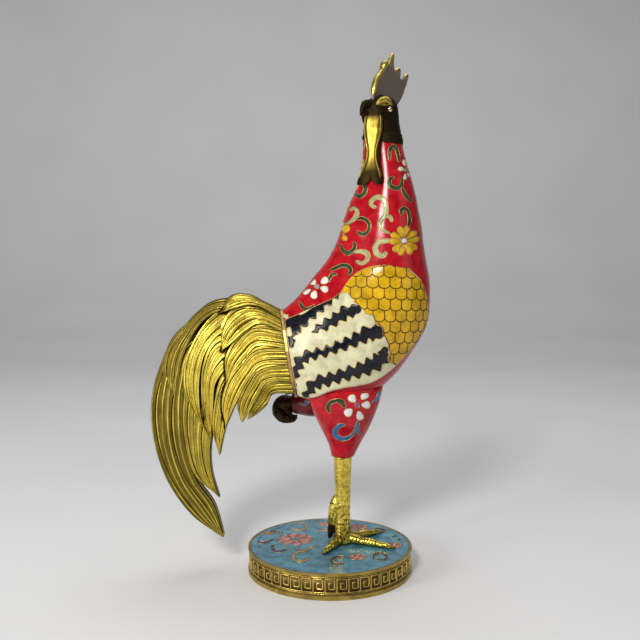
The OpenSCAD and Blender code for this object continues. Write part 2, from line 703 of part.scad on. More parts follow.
module eye_balls(grow) {
    for (side = [right, left])
        translate([head_l * eye_shares[0], side * head_w * eye_shares[1], head_h * eye_shares[2]])
            sphere(d = eye_d + 2 * grow, $fn = 16);
}

module eyes() {
    color("black") in_head() eye_balls(0);
}

base_rim();
base_plate();
base_washer();
base_nut();
standing_leg();
raised_leg();
standing_thigh();
raised_thigh();
body_shell();
wing_right();
wing_left();
tail_collar();
tail_plug();
tail_right();
tail_left();
head();
comb();
wattle_right();
wattle_left();
eyes();
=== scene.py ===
"""Looks of the cloisonne rooster: enamel, gilt castings, patterns, studio and camera."""
import math

import bmesh
import bpy
import numpy as np
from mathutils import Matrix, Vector, noise
from mathutils.geometry import delaunay_2d_cdt


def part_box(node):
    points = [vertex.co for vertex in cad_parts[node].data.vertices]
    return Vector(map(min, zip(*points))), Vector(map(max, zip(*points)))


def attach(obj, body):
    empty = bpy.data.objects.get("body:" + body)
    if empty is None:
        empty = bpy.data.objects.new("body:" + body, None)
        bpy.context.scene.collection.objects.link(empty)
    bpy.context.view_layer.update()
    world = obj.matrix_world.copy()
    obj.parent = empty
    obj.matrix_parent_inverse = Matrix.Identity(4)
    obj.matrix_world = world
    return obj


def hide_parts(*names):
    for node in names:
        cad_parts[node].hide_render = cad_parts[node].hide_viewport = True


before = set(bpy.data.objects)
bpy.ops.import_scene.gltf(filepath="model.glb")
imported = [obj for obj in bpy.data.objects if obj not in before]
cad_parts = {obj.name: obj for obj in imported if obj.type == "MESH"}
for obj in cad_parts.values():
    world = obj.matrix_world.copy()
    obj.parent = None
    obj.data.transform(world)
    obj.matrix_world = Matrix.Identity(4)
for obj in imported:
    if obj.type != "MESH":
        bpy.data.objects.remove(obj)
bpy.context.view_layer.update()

# Lengths below are in millimetres, and a mesh is scaled to metres when it is made
MM = 0.001
RIGHT, LEFT = -1, 1
SIDES = {"right": RIGHT, "left": LEFT}


def node_box(name):
    """Lowest and highest corner of a CAD node in millimetres."""
    low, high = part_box(name)
    return Vector(low) / MM, Vector(high) / MM


# Sums that many shapes share


def clamp(x):
    return np.clip(x, 0, 1)


def bell(x, width):
    """1 at zero, with a smooth fall to either side."""
    return np.exp(-((x / width) ** 2))


def full_turn(steps):
    """Angles in equal steps round a circle."""
    return np.arange(steps) * 2 * math.pi / steps


def direction(vectors):
    """The same vectors with length 1."""
    return vectors / np.maximum(np.linalg.norm(vectors, axis=-1, keepdims=True), 1e-9)


def run_along(points):
    """Length run from a line's first point to each of its points."""
    steps = np.linalg.norm(np.diff(points, axis=-2), axis=-1)
    return np.concatenate([np.zeros_like(steps[..., :1]), np.cumsum(steps, -1)], -1)


def gap_to(points, edge):
    """Distance from each point to the nearest point of an edge."""
    return np.min(np.linalg.norm(points[:, None] - edge[None], axis=2), axis=1)


def turned(points, angle):
    c, s = math.cos(angle), math.sin(angle)
    return points @ np.array([[c, s], [-s, c]])


def along(values, s):
    """Catmull-Rom value at s from 0 to 1 of a list of numbers or of equal-length points."""
    v = np.asarray(values, float)
    s = clamp(np.asarray(s, float))
    last = len(v) - 1
    i = np.minimum((s * last).astype(int), last - 1)
    f = s * last - i
    if v.ndim > 1:
        f = f[..., None]
    before = np.concatenate([[2 * v[0] - v[1]], v, [2 * v[-1] - v[-2]]])
    a, b, c, d = before[i], before[i + 1], before[i + 2], before[i + 3]
    return 0.5 * (2 * b + (c - a) * f + (2 * a - 5 * b + 4 * c - d) * f**2 + (3 * b - a - 3 * c + d) * f**3)


# Body: sections fan about a line across the bird, from the neck's top to the tail joint

BASE_R, _, BASE_H = node_box("base_rim")[1]
SHANK_H, THIGH_H = 49.2, 28.3
FOOT = Vector((7.0, 2.0, BASE_H))
REACH = 152.6
HALF_W = 26.0
TURN = math.radians(80.4)
EGG = 0.15
BACK = [0.383, 0.385, 0.39, 0.397, 0.402, 0.406, 0.42, 0.446, 0.476, 0.504, 0.531, 0.572, 0.611]
BREAST = [0.515, 0.53, 0.564, 0.606, 0.656, 0.72, 0.812, 0.892, 0.938, 0.976, 1, 0.985, 0.925]
WIDTH = [0.385, 0.43, 0.5, 0.58, 0.67, 0.77, 0.87, 0.95, 0.99, 1, 0.97, 0.86, 0.66]
BODY_SET_BACK, FAN_RISE_SHARE = 48, 0.944
FAN_X = FOOT.x - BODY_SET_BACK
FAN_Z = BASE_H + SHANK_H + THIGH_H + FAN_RISE_SHARE * REACH


def section(s):
    """Middle reach, half depth and half width of the body's section at station s."""
    inner, outer = REACH * along(BACK, s), REACH * along(BREAST, s)
    return (outer + inner) / 2, (outer - inner) / 2, HALF_W * along(WIDTH, s)


def body_point(s, phi, side=LEFT, off=0.0):
    """Points of the body at station s and angle phi in degrees from the breast, grown by off."""
    s, phi = np.broadcast_arrays(np.asarray(s, float), np.radians(phi))
    middle, depth, wide = section(s)
    reach = middle + (depth + off) * np.cos(phi)
    across = side * (wide + off) * np.sin(phi) * (1 + EGG * np.cos(phi))
    return np.stack([FAN_X + reach * np.cos(TURN * s), across, FAN_Z - reach * np.sin(TURN * s)], -1)


NECK = Vector((FAN_X + section(0)[0], 0, FAN_Z))

# Camera, placed as the photograph was taken

CAMERA_AT = Vector((-5.5, -450.0, 171.3))
CAMERA_TILT = math.radians(4.3)
CAMERA_FOV = math.radians(42)
PHOTO = 640


def to_pixels(points):
    """Where points in millimetres fall in the photograph."""
    rel = np.asarray(points, float) - np.array(CAMERA_AT)
    depth = rel[..., 1] * math.cos(CAMERA_TILT) - rel[..., 2] * math.sin(CAMERA_TILT)
    up = rel[..., 1] * math.sin(CAMERA_TILT) + rel[..., 2] * math.cos(CAMERA_TILT)
    focal = PHOTO / 2 / math.tan(CAMERA_FOV / 2)
    return PHOTO / 2 + focal * rel[..., 0] / depth, PHOTO / 2 - focal * up / depth


# Materials


def new_material(name):
    made = bpy.data.materials.new(name)
    made.use_nodes = True
    return made, made.node_tree, made.node_tree.nodes["Principled BSDF"]


def feed(tree, node, inputs):
    """Gives a node's inputs the sockets, colours or numbers that they take."""
    for key, value in inputs.items():
        if isinstance(value, bpy.types.NodeSocket):
            tree.links.new(value, node.inputs[key])
        else:
            node.inputs[key].default_value = (*value, 1) if isinstance(value, tuple) else value


def noise_node(tree, scale, detail, distortion=0.0):
    where = tree.nodes.new("ShaderNodeTexCoord").outputs["Object"]
    made = tree.nodes.new("ShaderNodeTexNoise")
    feed(tree, made, {"Vector": where, "Scale": scale, "Detail": detail, "Distortion": distortion})
    return made.outputs["Fac"]


def ramp_node(tree, source, *stops):
    """Ramp of two stops, each a place and a colour or a level of grey."""
    made = tree.nodes.new("ShaderNodeValToRGB")
    for element, (place, colour) in zip(made.color_ramp.elements, stops):
        element.position = place
        element.color = (*np.broadcast_to(colour, 3), 1)
    feed(tree, made, {"Fac": source})
    return made.outputs["Color"]


def patch_node(tree, grain, *stops):
    """Ramp over noise of a grain, given as scale, detail and distortion."""
    return ramp_node(tree, noise_node(tree, *grain), *stops)


def mix_node(tree, factor, a, b):
    made = tree.nodes.new("ShaderNodeMix")
    made.data_type = "RGBA"
    feed(tree, made, {0: factor, 6: a, 7: b})
    return made.outputs[2]


def bump_node(tree, bsdf, *bumps):
    """Chains bumps of (height socket, strength, distance in millimetres) into the shader."""
    last = None
    for height, strength, distance in bumps:
        made = tree.nodes.new("ShaderNodeBump")
        feed(tree, made, {"Height": height, "Strength": strength, "Distance": distance * MM})
        if last:
            feed(tree, made, {"Normal": last})
        last = made.outputs["Normal"]
    feed(tree, bsdf, {"Normal": last})


def blend(a, b, share):
    return tuple(p + (q - p) * share for p, q in zip(a, b))


# Grains of noise, as scale, detail and distortion

CLOUDS, PITS, SHEEN, WAVES = (170, 4, 0.6), (1500, 2), (420, 3), (110, 2)
CAST_TONE, CAST_SHINE, CAST_WAVES = (95, 5, 0.8), (260, 4), (140, 3)
TURNED_TONE, TURNED_LINES, PAPER_TONE = (300, 3), (1200, 2), (6, 2)


def enamel(name, colour, mottle=0.25, gloss=0.11):
    """Ground and polished enamel: cloudy colour, faint waves and fine pits."""
    made, tree, bsdf = new_material(name + "_enamel")
    dark = tuple(c * (1 - mottle) for c in colour)
    light = tuple(min(1, c * (1 + mottle) + 0.01) for c in colour)
    cloud = patch_node(tree, CLOUDS, (0.32, dark), (0.68, light))
    pits = patch_node(tree, PITS, (0.27, 0), (0.33, 1))
    feed(tree, bsdf, {
        "Base Color": mix_node(tree, pits, tuple(c * 0.45 for c in colour), cloud),
        "Roughness": patch_node(tree, SHEEN, (0.3, gloss), (0.75, gloss + 0.1)),
        "Coat Weight": 0.03, "Coat Roughness": 0.07, "Specular IOR Level": 0.26})
    bump_node(tree, bsdf, (noise_node(tree, *WAVES), 0.35, 0.25), (pits, 0.3, 0.03))
    return made


def gilt(name, bright, dark, rough, patina=0.3, grain=900, grain_depth=0.12):
    """Cast and gilded brass: rubbed bright on its ridges, brown where the groove attribute is high; that
    attribute carries dark patina in hollows and painted shade.
    """
    made, tree, bsdf = new_material(name)
    tone = patch_node(tree, CAST_TONE, (0.3, blend(bright, dark, patina)), (0.62, bright))
    speck = patch_node(tree, (grain * 0.6, 3), (0.3, 1), (0.42, 0))
    tone = mix_node(tree, speck, tone, blend(bright, dark, 0.45))
    # The groove attribute darkens the colour: patina in hollows, and painted shade where a piece sets it so
    shade_and_patina = tree.nodes.new("ShaderNodeAttribute")
    shade_and_patina.attribute_name = "groove"
    groove = ramp_node(tree, shade_and_patina.outputs["Fac"], (0.25, 0), (0.8, 1))
    shine = patch_node(tree, CAST_SHINE, (0.3, rough[0]), (0.7, rough[1]))
    feed(tree, bsdf, {
        "Base Color": mix_node(tree, groove, tone, dark),
        "Roughness": mix_node(tree, groove, shine, (0.62, 0.62, 0.62)),
        "Metallic": 1.0})
    waves, sand = noise_node(tree, *CAST_WAVES), noise_node(tree, grain, 3)
    bump_node(tree, bsdf, (waves, 0.3, 0.2), (sand, 0.5, grain_depth))
    return made


def steel():
    made, tree, bsdf = new_material("turned_steel")
    tone = patch_node(tree, TURNED_TONE, (0.3, 0.42), (0.7, 0.6))
    feed(tree, bsdf, {"Base Color": tone, "Metallic": 1.0, "Roughness": 0.32})
    bump_node(tree, bsdf, (noise_node(tree, *TURNED_LINES), 0.3, 0.05))
    return made


RED = enamel("red", (0.42, 0.002, 0.009))
# Red enamel darkened as painted shade, for the raised thigh under the body
SHADED_RED = enamel("shaded_red", (0.13, 0.003, 0.008))
YELLOW = enamel("yellow", (0.62, 0.36, 0.005), 0.28)
CREAM = enamel("cream", (0.62, 0.585, 0.36), 0.18, 0.16)
BLACK = enamel("black", (0.004, 0.005, 0.009), 0.3, 0.12)
WHITE = enamel("white", (0.74, 0.72, 0.68), 0.1)
CELADON = enamel("celadon", (0.36, 0.37, 0.17))
GREEN = enamel("green", (0.026, 0.05, 0.016), 0.5)
BLUE = enamel("blue", (0.04, 0.15, 0.34), 0.3)
NAVY = enamel("navy", (0.02, 0.035, 0.12), 0.3)
PURPLE = enamel("purple", (0.22, 0.07, 0.2))
GREY = enamel("grey", (0.32, 0.31, 0.33), 0.2)
PINK = enamel("pink", (0.52, 0.17, 0.21), 0.35)
TAN = enamel("tan", (0.4, 0.31, 0.17))
SKY = enamel("sky", (0.075, 0.25, 0.34), 0.4)
WIRE = gilt("wire_gilt", (0.62, 0.43, 0.16), (0.16, 0.09, 0.03), (0.3, 0.45))
TAIL_GILT = gilt("tail_gilt", (0.88, 0.68, 0.1), (0.035, 0.02, 0.006), (0.22, 0.4), 0.4)
LEG_GILT = gilt("leg_gilt", (0.9, 0.69, 0.11), (0.05, 0.03, 0.01), (0.16, 0.32), 0.5, 600, 0.2)
# Leg gilt darkened as painted shade, for the raised foot that hangs in shade under the body
SHADED_LEG_GILT = gilt("shaded_leg_gilt", (0.07, 0.045, 0.02), (0.012, 0.008, 0.005), (0.3, 0.5), 0.6, 700, 0.2)
RIM_GILT = gilt("rim_gilt", (0.5, 0.36, 0.09), (0.06, 0.04, 0.01), (0.26, 0.42), 0.6, 800, 0.15)
HEAD_GILT = gilt("head_gilt", (0.7, 0.52, 0.1), (0.03, 0.02, 0.01), (0.28, 0.46), 0.5, 800, 0.2)
WATTLE_GILT = gilt("wattle_gilt", (0.64, 0.47, 0.075), (0.045, 0.028, 0.01), (0.3, 0.46), 0.6)
COMB_METAL = gilt("comb_metal", (0.72, 0.54, 0.13), (0.3, 0.245, 0.215), (0.3, 0.45), 0.4)
EYE_GILT = gilt("eye_gilt", (0.82, 0.68, 0.32), (0.2, 0.12, 0.04), (0.12, 0.2), 0.2)
SCALE_WIRE = gilt("scale_wire", (0.1, 0.065, 0.03), (0.03, 0.02, 0.01), (0.35, 0.5))
FRET_GILT = gilt("fret_gilt", (0.74, 0.55, 0.15), (0.12, 0.07, 0.02), (0.22, 0.36), 0.5, 800, 0.1)
# Dark gilt for a sheet of painted shade in the base's sunk band
FRET_SHADE = gilt("fret_shade", (0.15, 0.1, 0.03), (0.03, 0.02, 0.008), (0.4, 0.6), 0.5, 800, 0.2)
PLAIN_BRASS = gilt("plain_brass", (0.5, 0.38, 0.18), (0.12, 0.08, 0.03), (0.35, 0.5), 0.4)
STEEL = steel()

# Meshes


def put_in_scene(name, data):
    made = bpy.data.objects.new(name, data)
    bpy.context.scene.collection.objects.link(made)
    return made


def smooth_mesh(name, points, faces, material):
    mesh = bpy.data.meshes.new(name)
    mesh.from_pydata(np.asarray(points, float).tolist(), [], faces)
    mesh.update()
    mesh.materials.append(material)
    mesh.polygons.foreach_set("use_smooth", [True] * len(mesh.polygons))
    return mesh


def add_mesh(name, points, faces, material, slot, stands_for=(), groove=None):
    """Makes a piece of points in millimetres that rides on the one body."""
    mesh = smooth_mesh(name, points * MM, faces, material)
    made = put_in_scene(name, mesh)
    # groove holds darkness for the gilt materials: patina in hollows and painted shade
    if groove is not None:
        store = mesh.attributes.new("groove", "FLOAT", "POINT")
        store.data.foreach_set("value", np.asarray(groove, np.float32))
    finish_mesh(mesh)
    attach(made, "root")
    if stands_for:
        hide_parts(*stands_for)


def finish_mesh(mesh):
    """Turns every face outward."""
    made = bmesh.new()
    made.from_mesh(mesh)
    bmesh.ops.recalc_face_normals(made, faces=made.faces)
    made.to_mesh(mesh)
    made.free()


def grid_faces(rows, columns, ring=True, closed=False):
    """Quads of a grid of rows by columns; ring joins the columns' ends and closed the rows'."""
    across = range(columns if ring else columns - 1)
    down = range(rows if closed else rows - 1)
    return [(i * columns + j, i * columns + (j + 1) % columns,
             ((i + 1) % rows) * columns + (j + 1) % columns, ((i + 1) % rows) * columns + j)
            for i in down for j in across]


def tube(rings, closed=False):
    """Points and faces of a solid through rings of points; closed joins the last ring to the first."""
    rows, columns = rings.shape[:2]
    faces = grid_faces(rows, columns, closed=closed)
    if not closed:
        faces += [tuple(range(columns)), tuple((rows - 1) * columns + j for j in range(columns))]
    return rings.reshape(-1, 3), faces


def rings_about(at, radius, across, up, sides):
    """Rings of points about places, each in the plane of two directions."""
    turn = full_turn(sides)[:, None]
    return at[:, None] + radius * (np.cos(turn) * across[:, None] + np.sin(turn) * up[:, None])


def upright(x, y, z, long, wide, sides):
    """Solid of level ovals at heights z, about (x, y) and with half axes long and wide."""
    turn = full_turn(sides)
    x, y, z, long, wide = (a[:, None] for a in np.broadcast_arrays(x, y, z, long, wide))
    return tube(np.stack(np.broadcast_arrays(x + long * np.cos(turn), y + wide * np.sin(turn), z), -1))


class Pile:
    """Many small meshes gathered into one piece."""

    def __init__(self, name, material, slot):
        self.name, self.material, self.slot = name, material, slot
        self.points, self.faces, self.count = [], [], 0

    def add(self, points, faces):
        self.points.append(points)
        self.faces.extend(tuple(i + self.count for i in f) for f in faces)
        self.count += len(points)

    def make(self, stands_for=(), groove=None):
        points = np.concatenate(self.points)
        add_mesh(self.name, points, self.faces, self.material, self.slot, stands_for, groove)


# Body and wings

BODY_ROWS, BODY_SIDES, SHELL_T = 210, 168, 1.5
WING_ROWS, WING_COLUMNS = 150, 90
WING_FROM, WING_TO = 0.505, 0.998
WING_TOP = [66.6, 91.8, 106.2, 115.2, 121, 123, 122.4, 124.2, 127.8, 132, 136, 138.6, 141.3]
WING_LOW = [46, 28, 22.5, 22.5, 26.6, 31, 35, 40.5, 47.7, 52.2, 50.4, 38.7, 25.2]
WING_GAP = 0.15
WING_EDGE, WING_RISE, WING_LIP = 0.15, 0.75, 1.5
WING_END_SLOPE, WING_TOP_SLOPE, WING_LOW_SLOPE = 18, 7, 22
LIP_FROM, LIP_SLOPE = 0.42, 3


def make_body():
    s, phi = np.linspace(0, 1, BODY_ROWS)[:, None], np.degrees(full_turn(BODY_SIDES))
    outer, inner = body_point(s, phi), body_point(s[::-1], phi, LEFT, -SHELL_T)
    shell = tube(np.concatenate([outer, inner]), closed=True)
    add_mesh("body_enamel", *shell, RED, "red_enamel", ["body_shell"])


def wing_edges(t):
    """Angles of the wing's lower and upper edge, t of the way along it."""
    return along(WING_LOW, t), along(WING_TOP, t)


def wing_place(s, phi, first=0.0, last=1.0):
    """How far s lies along the wing, held from first to last, and how far up it phi lies there."""
    t = np.clip((np.asarray(s) - WING_FROM) / (WING_TO - WING_FROM), first, last)
    low, top = wing_edges(t)
    return t, (phi - low) / (top - low)


def on_wing(t, v):
    """Station and angle that lie t along the wing and v up it."""
    t, v = np.broadcast_arrays(t, v)
    low, top = wing_edges(t)
    return np.stack([WING_FROM + (WING_TO - WING_FROM) * t, low + (top - low) * v], -1)


def wing_rise(t, v):
    """Height of the wing's face: flush at its upper edge, a rolled lip along its lower one."""
    end = clamp(np.minimum(t, 1 - t) * WING_END_SLOPE)
    upper, lower = clamp((1 - v) * WING_TOP_SLOPE), clamp(v * WING_LOW_SLOPE)
    lip = WING_LIP * clamp((t - LIP_FROM) * LIP_SLOPE) * clamp(1 - v) ** 3
    face = WING_EDGE + WING_RISE * np.sqrt(upper) + lip
    return face * (0.25 + 0.75 * np.sqrt(end)) * (0.35 + 0.65 * np.sqrt(lower))


def wing_point(s, phi, side, lift):
    t, v = wing_place(s, phi)
    return body_point(s, phi, side, WING_GAP + wing_rise(t, clamp(v)) + lift)


def make_wing(word, side):
    """One wing's panel: a thin solid with closer rows of points at its edges."""
    t = np.linspace(0, 1, WING_ROWS)[:, None]
    inner = (1 - np.cos(np.linspace(0.08, 1, WING_COLUMNS - 2) * math.pi * 0.985)) / 2
    v = np.concatenate([[0], inner, [1]])
    s, phi = np.moveaxis(on_wing(t, v), -1, 0)
    face = body_point(s, phi, side, WING_GAP + wing_rise(t, v))
    under = body_point(s, phi, side, WING_GAP / 2)
    panel = tube(np.concatenate([face, under[:, ::-1]], 1))
    add_mesh("wing_panel_" + word, *panel, CREAM, "wing_enamel", ["wing_" + word])


# Tail: sickles and coverts on each half

TAIL_H = 134.0
TAIL_HALF_W = 17.0
COLLAR_L, TAIL_GAP = 1.4, 0.15
JOINT_BACK = np.array([-math.sin(TURN), 0, -math.cos(TURN)])
JOINT = np.array(body_point(1, 90, LEFT) * [1, 0, 1])
TAIL_FROM = JOINT + JOINT_BACK * (COLLAR_L + TAIL_GAP)
# Each feather: its upper and lower edge in TAIL_H, and how far its four corners stand out in TAIL_HALF_W
COVERTS = [
    [[[-0.009, 0.168], [-0.096, 0.212], [-0.159, 0.241], [-0.229, 0.235], [-0.268, 0.172]],
     [[-0.002, 0.13], [-0.096, 0.188], [-0.153, 0.2], [-0.209, 0.185], [-0.266, 0.168]],
     [0.22, 0.62, 0.14, 0.5]],
    [[[-0.005, 0.145], [-0.124, 0.2], [-0.214, 0.187], [-0.264, 0.116], [-0.26, 0.024]],
     [[0.006, 0.085], [-0.098, 0.129], [-0.157, 0.102], [-0.207, 0.06], [-0.258, 0.018]],
     [0.5, 0.84, 0.48, 0.6]],
    [[[0.001, 0.11], [-0.124, 0.128], [-0.199, 0.073], [-0.245, -0.007], [-0.242, -0.1]],
     [[0.015, 0.03], [-0.109, 0.042], [-0.159, -0.002], [-0.202, -0.052], [-0.241, -0.108]],
     [0.72, 0.97, 0.56, 0.6]],
    [[[0.011, 0.055], [-0.122, 0.039], [-0.185, -0.028], [-0.239, -0.105], [-0.261, -0.194],
      [-0.247, -0.282]],
     [[0.025, -0.03], [-0.094, -0.034], [-0.147, -0.089], [-0.184, -0.155], [-0.218, -0.223],
      [-0.248, -0.294]],
     [0.9, 1.02, 0.5, 0.52]],
    [[[0.022, -0.012], [-0.102, -0.036], [-0.159, -0.105], [-0.198, -0.187], [-0.186, -0.262]],
     [[0.037, -0.1], [-0.069, -0.101], [-0.113, -0.154], [-0.145, -0.215], [-0.178, -0.27]],
     [1, 0.92, 0.5, 0.48]],
    [[[0.034, -0.08], [-0.066, -0.095], [-0.108, -0.143], [-0.141, -0.2], [-0.16, -0.255]],
     [[0.046, -0.155], [-0.053, -0.157], [-0.081, -0.201], [-0.118, -0.237], [-0.162, -0.267]],
     [0.94, 0.5, 0.4, 0.25]]]
SICKLES = [
    [[[-0.197, 0.219], [-0.295, 0.162], [-0.366, 0.074], [-0.411, -0.031], [-0.415, -0.143],
      [-0.373, -0.248], [-0.312, -0.344]],
     [[-0.2, 0.118], [-0.278, 0.075], [-0.328, 0.002], [-0.348, -0.085], [-0.352, -0.175],
      [-0.343, -0.264], [-0.31, -0.352]],
     [0.36, 0.6, 0.22, 0.28]],
    [[[-0.17, 0.1], [-0.29, 0.067], [-0.335, -0.03], [-0.346, -0.134], [-0.339, -0.238], [-0.31, -0.33]],
     [[-0.188, -0.002], [-0.243, -0.055], [-0.286, -0.117], [-0.296, -0.193], [-0.302, -0.269],
      [-0.308, -0.34]],
     [0.56, 0.6, 0.24, 0.24]],
    [[[-0.199, 0], [-0.265, -0.086], [-0.293, -0.192], [-0.303, -0.301], [-0.28, -0.402]],
     [[-0.162, -0.124], [-0.205, -0.19], [-0.237, -0.261], [-0.26, -0.335], [-0.276, -0.413]],
     [0.52, 0.5, 0.24, 0.2]],
    [[[-0.12, 0.225], [-0.279, 0.221], [-0.365, 0.169], [-0.433, 0.091], [-0.487, 0.006],
      [-0.503, -0.092], [-0.462, -0.176]],
     [[-0.12, 0.15], [-0.264, 0.171], [-0.337, 0.132], [-0.385, 0.063], [-0.419, -0.014],
      [-0.437, -0.096], [-0.455, -0.182]],
     [0.1, 0.42, 0.12, 0.2]],
    [[[-0.2, 0.2], [-0.424, 0.109], [-0.511, -0.035], [-0.554, -0.195], [-0.545, -0.362],
      [-0.493, -0.522], [-0.399, -0.66], [-0.276, -0.754]],
     [[-0.2, 0.1], [-0.375, 0.005], [-0.411, -0.124], [-0.421, -0.258], [-0.41, -0.392], [-0.368, -0.519],
      [-0.3, -0.622], [-0.262, -0.752]],
     [0.08, 0.3, 0.08, 0.14]],
    [[[-0.25, 0.1], [-0.388, -0.041], [-0.42, -0.189], [-0.418, -0.342], [-0.382, -0.489], [-0.286, -0.58]],
     [[-0.2, -0.025], [-0.262, -0.138], [-0.283, -0.251], [-0.311, -0.364], [-0.31, -0.478],
      [-0.279, -0.592]],
     [0.3, 0.34, 0.18, 0.1]]]
# Painted shade: how much darker each sickle is coloured, for the outer and long sickles that lie in less
# light
SICKLE_SHADE = [0.1, 0.25, 0.35, 0.66, 0.7, 0.5]
COVERT_RISE = [1.7, 1.3, 1.0, 0.8, 0.4, 0.0]
COVERT_GROOVES = [0.17, 0.36, 0.53, 0.74]
SICKLE_GROOVES = [0.16, 0.33, 0.48, 0.67, 0.84]
FEATHER_ROWS, FEATHER_COLUMNS = 110, 71
GROOVE_W, GROOVE = 0.027, 0.6
GROOVE_SWAY, GROOVE_LEAN, GROOVE_END = 0.025, 0.06, 0.97
CROWN_H, CROWN_W, RIPPLE_H = 1.05, 1.3, 0.2
EDGE_LINE = 0.5
MIDDLE_GAP = 0.05
CAVITY_CELL, CAVITY_REACH = 0.5, 2
CAVITY_FROM, CAVITY_SLOPE, CAVITY_SPAN = 1, 1.3, 0.8


def feather(side, shape, grooves, shade_level, rise):
    """Points, faces, darkness and slope of one feather, a closed solid down to the middle plane. The darkness
    holds dark patina in its grooves and painted shade along its edges, near its root, on shaded sickles and
    on its closing sides.
    """
    upper, lower, spread = shape
    t = np.linspace(0, 1, FEATHER_ROWS)[:, None]
    q = np.linspace(0, 1, FEATHER_COLUMNS)[None, :]
    a, b = along(upper, t), along(lower, t)
    root_half = spread[0] + (spread[1] - spread[0]) * q
    tip_half = spread[2] + (spread[3] - spread[2]) * q
    half = TAIL_HALF_W * (root_half + (tip_half - root_half) * t)
    cut = np.zeros_like(half)
    for k, groove in enumerate(grooves):
        bent = groove + GROOVE_SWAY * np.sin(3 * math.pi * t + 2.1 * k) + GROOVE_LEAN * (0.5 - groove) * t
        depth = (0.75 + 0.25 * np.sin(2.3 * k + 1)) * clamp(7 * (GROOVE_END - t))
        cut = np.maximum(cut, depth * bell(q - bent, GROOVE_W))
    width = TAIL_H * np.linalg.norm(b - a, axis=2)
    border = np.minimum(q, 1 - q) * width
    crown = np.sqrt(clamp(1 - (1 - clamp(border / CROWN_W)) ** 2))
    ripple = np.cos(2 * math.pi * (len(grooves) + 1) * (q + 0.012 * np.sin(9 * t)))
    half = half + CROWN_H * crown + (RIPPLE_H * ripple - GROOVE * cut) * np.clip(6 * (1 - t), 0.15, 1)
    half = half + rise * clamp(2 * t - 0.2) * (0.3 + 0.7 * q)
    # Painted shade along each feather's edge, where it meets its neighbours
    edge = clamp(1.2 - border / EDGE_LINE) * (t < 0.99)
    # Painted shade, darker near the root by the joint
    root = np.clip(0.62 - 1.5 * t, 0, 0.55) * (rise > 0 or shade_level == 0)
    # Painted shade from the sickle's shade level and the root, kept off the ridge crests
    shade_and_patina = np.maximum(shade_level, root) * (1 - clamp(2.6 * ripple - 1.4))
    dark = np.maximum.reduce([cut, 0.95 * edge, shade_and_patina])
    place = TAIL_H * (a + (b - a) * q[..., None])
    face = np.stack([TAIL_FROM[0] + place[..., 0], side * half, TAIL_FROM[2] + place[..., 1]], -1)
    back = face[:, [-1, FEATHER_COLUMNS // 2, 0]] * [1, 0, 1] + [0, side * MIDDLE_GAP, 0]
    points, faces = tube(np.concatenate([face, back], 1))
    # Painted shade on the closing sides
    dark = np.concatenate([dark, np.full((FEATHER_ROWS, 3), 0.35)], 1)
    slope = np.abs(spread[1] - spread[0]) * TAIL_HALF_W / width * np.ones(FEATHER_COLUMNS + 3)
    return points, faces, dark.ravel(), slope.ravel()


def crevice_shade(points, side, slope):
    """Painted shade on places that lie close beside a higher feather, on feathers of this slope."""
    cell = np.floor(points[:, [0, 2]] / CAVITY_CELL).astype(int)
    cell -= cell.min(0) - 2 * CAVITY_REACH
    height = points[:, 1] * side
    top = np.full(tuple(cell.max(0) + 2 * CAVITY_REACH + 1), -1.0)
    np.maximum.at(top, (cell[:, 0], cell[:, 1]), height)
    reach = range(-CAVITY_REACH, CAVITY_REACH + 1)
    steps = [(i, j) for i in reach for j in reach if math.hypot(i, j) < 2.4]
    near = np.max([np.roll(top, step, (0, 1)) for step in steps], axis=0)
    above = near[cell[:, 0], cell[:, 1]] - height
    return clamp((above - CAVITY_FROM - CAVITY_SLOPE * slope) / CAVITY_SPAN) * (height > 0.2)


def behind_joint(points):
    """Draws points that lie ahead of the tail's front face back onto it."""
    ahead = np.minimum((points - TAIL_FROM) @ JOINT_BACK, 0)
    return points - ahead[:, None] * JOINT_BACK


def make_tail(word, side):
    """One half of the tail, its sickles first and its coverts over them."""
    pile, dark, slopes = Pile("tail_feathers_" + word, TAIL_GILT, "tail_brass"), [], []
    layers = [(shape, SICKLE_GROOVES, shade_and_patina, 0) for shape, shade_and_patina in zip(SICKLES, SICKLE_SHADE)]
    layers += [(shape, COVERT_GROOVES, 0, rise) for shape, rise in zip(COVERTS, COVERT_RISE)]
    for layer in layers:
        points, faces, depth, slope = feather(side, *layer)
        pile.add(behind_joint(points), faces)
        dark.append(depth)
        slopes.append(slope)
    # Painted shade in the crevices beside higher feathers
    shade = crevice_shade(np.concatenate(pile.points), side, np.concatenate(slopes))
    pile.make(["tail_" + word], np.maximum(np.concatenate(dark), shade))


# Skins that carry enamel cells, and the cells on them

CELL_LIFT, CELL_DEPTH = 0.07, 0.25
GRAIN, EDGE_CLEAR_SHARE = 1.0, 0.45
WIRE_R, WIRE_LIFT = 0.17, 0.06
PETAL_FROM_SHARE, PETAL_WIDE_SHARE, HEART_SHARE = 0.26, 0.68, 0.22
CURL_TURN, CURL_TIP_SHARE, CURL_END_W, CURL_MID_W = 4.4, 0.5, 0.08, 0.17
SEEN_STEPS = 150
PETAL_POINTS, DISC_POINTS = 30, 20


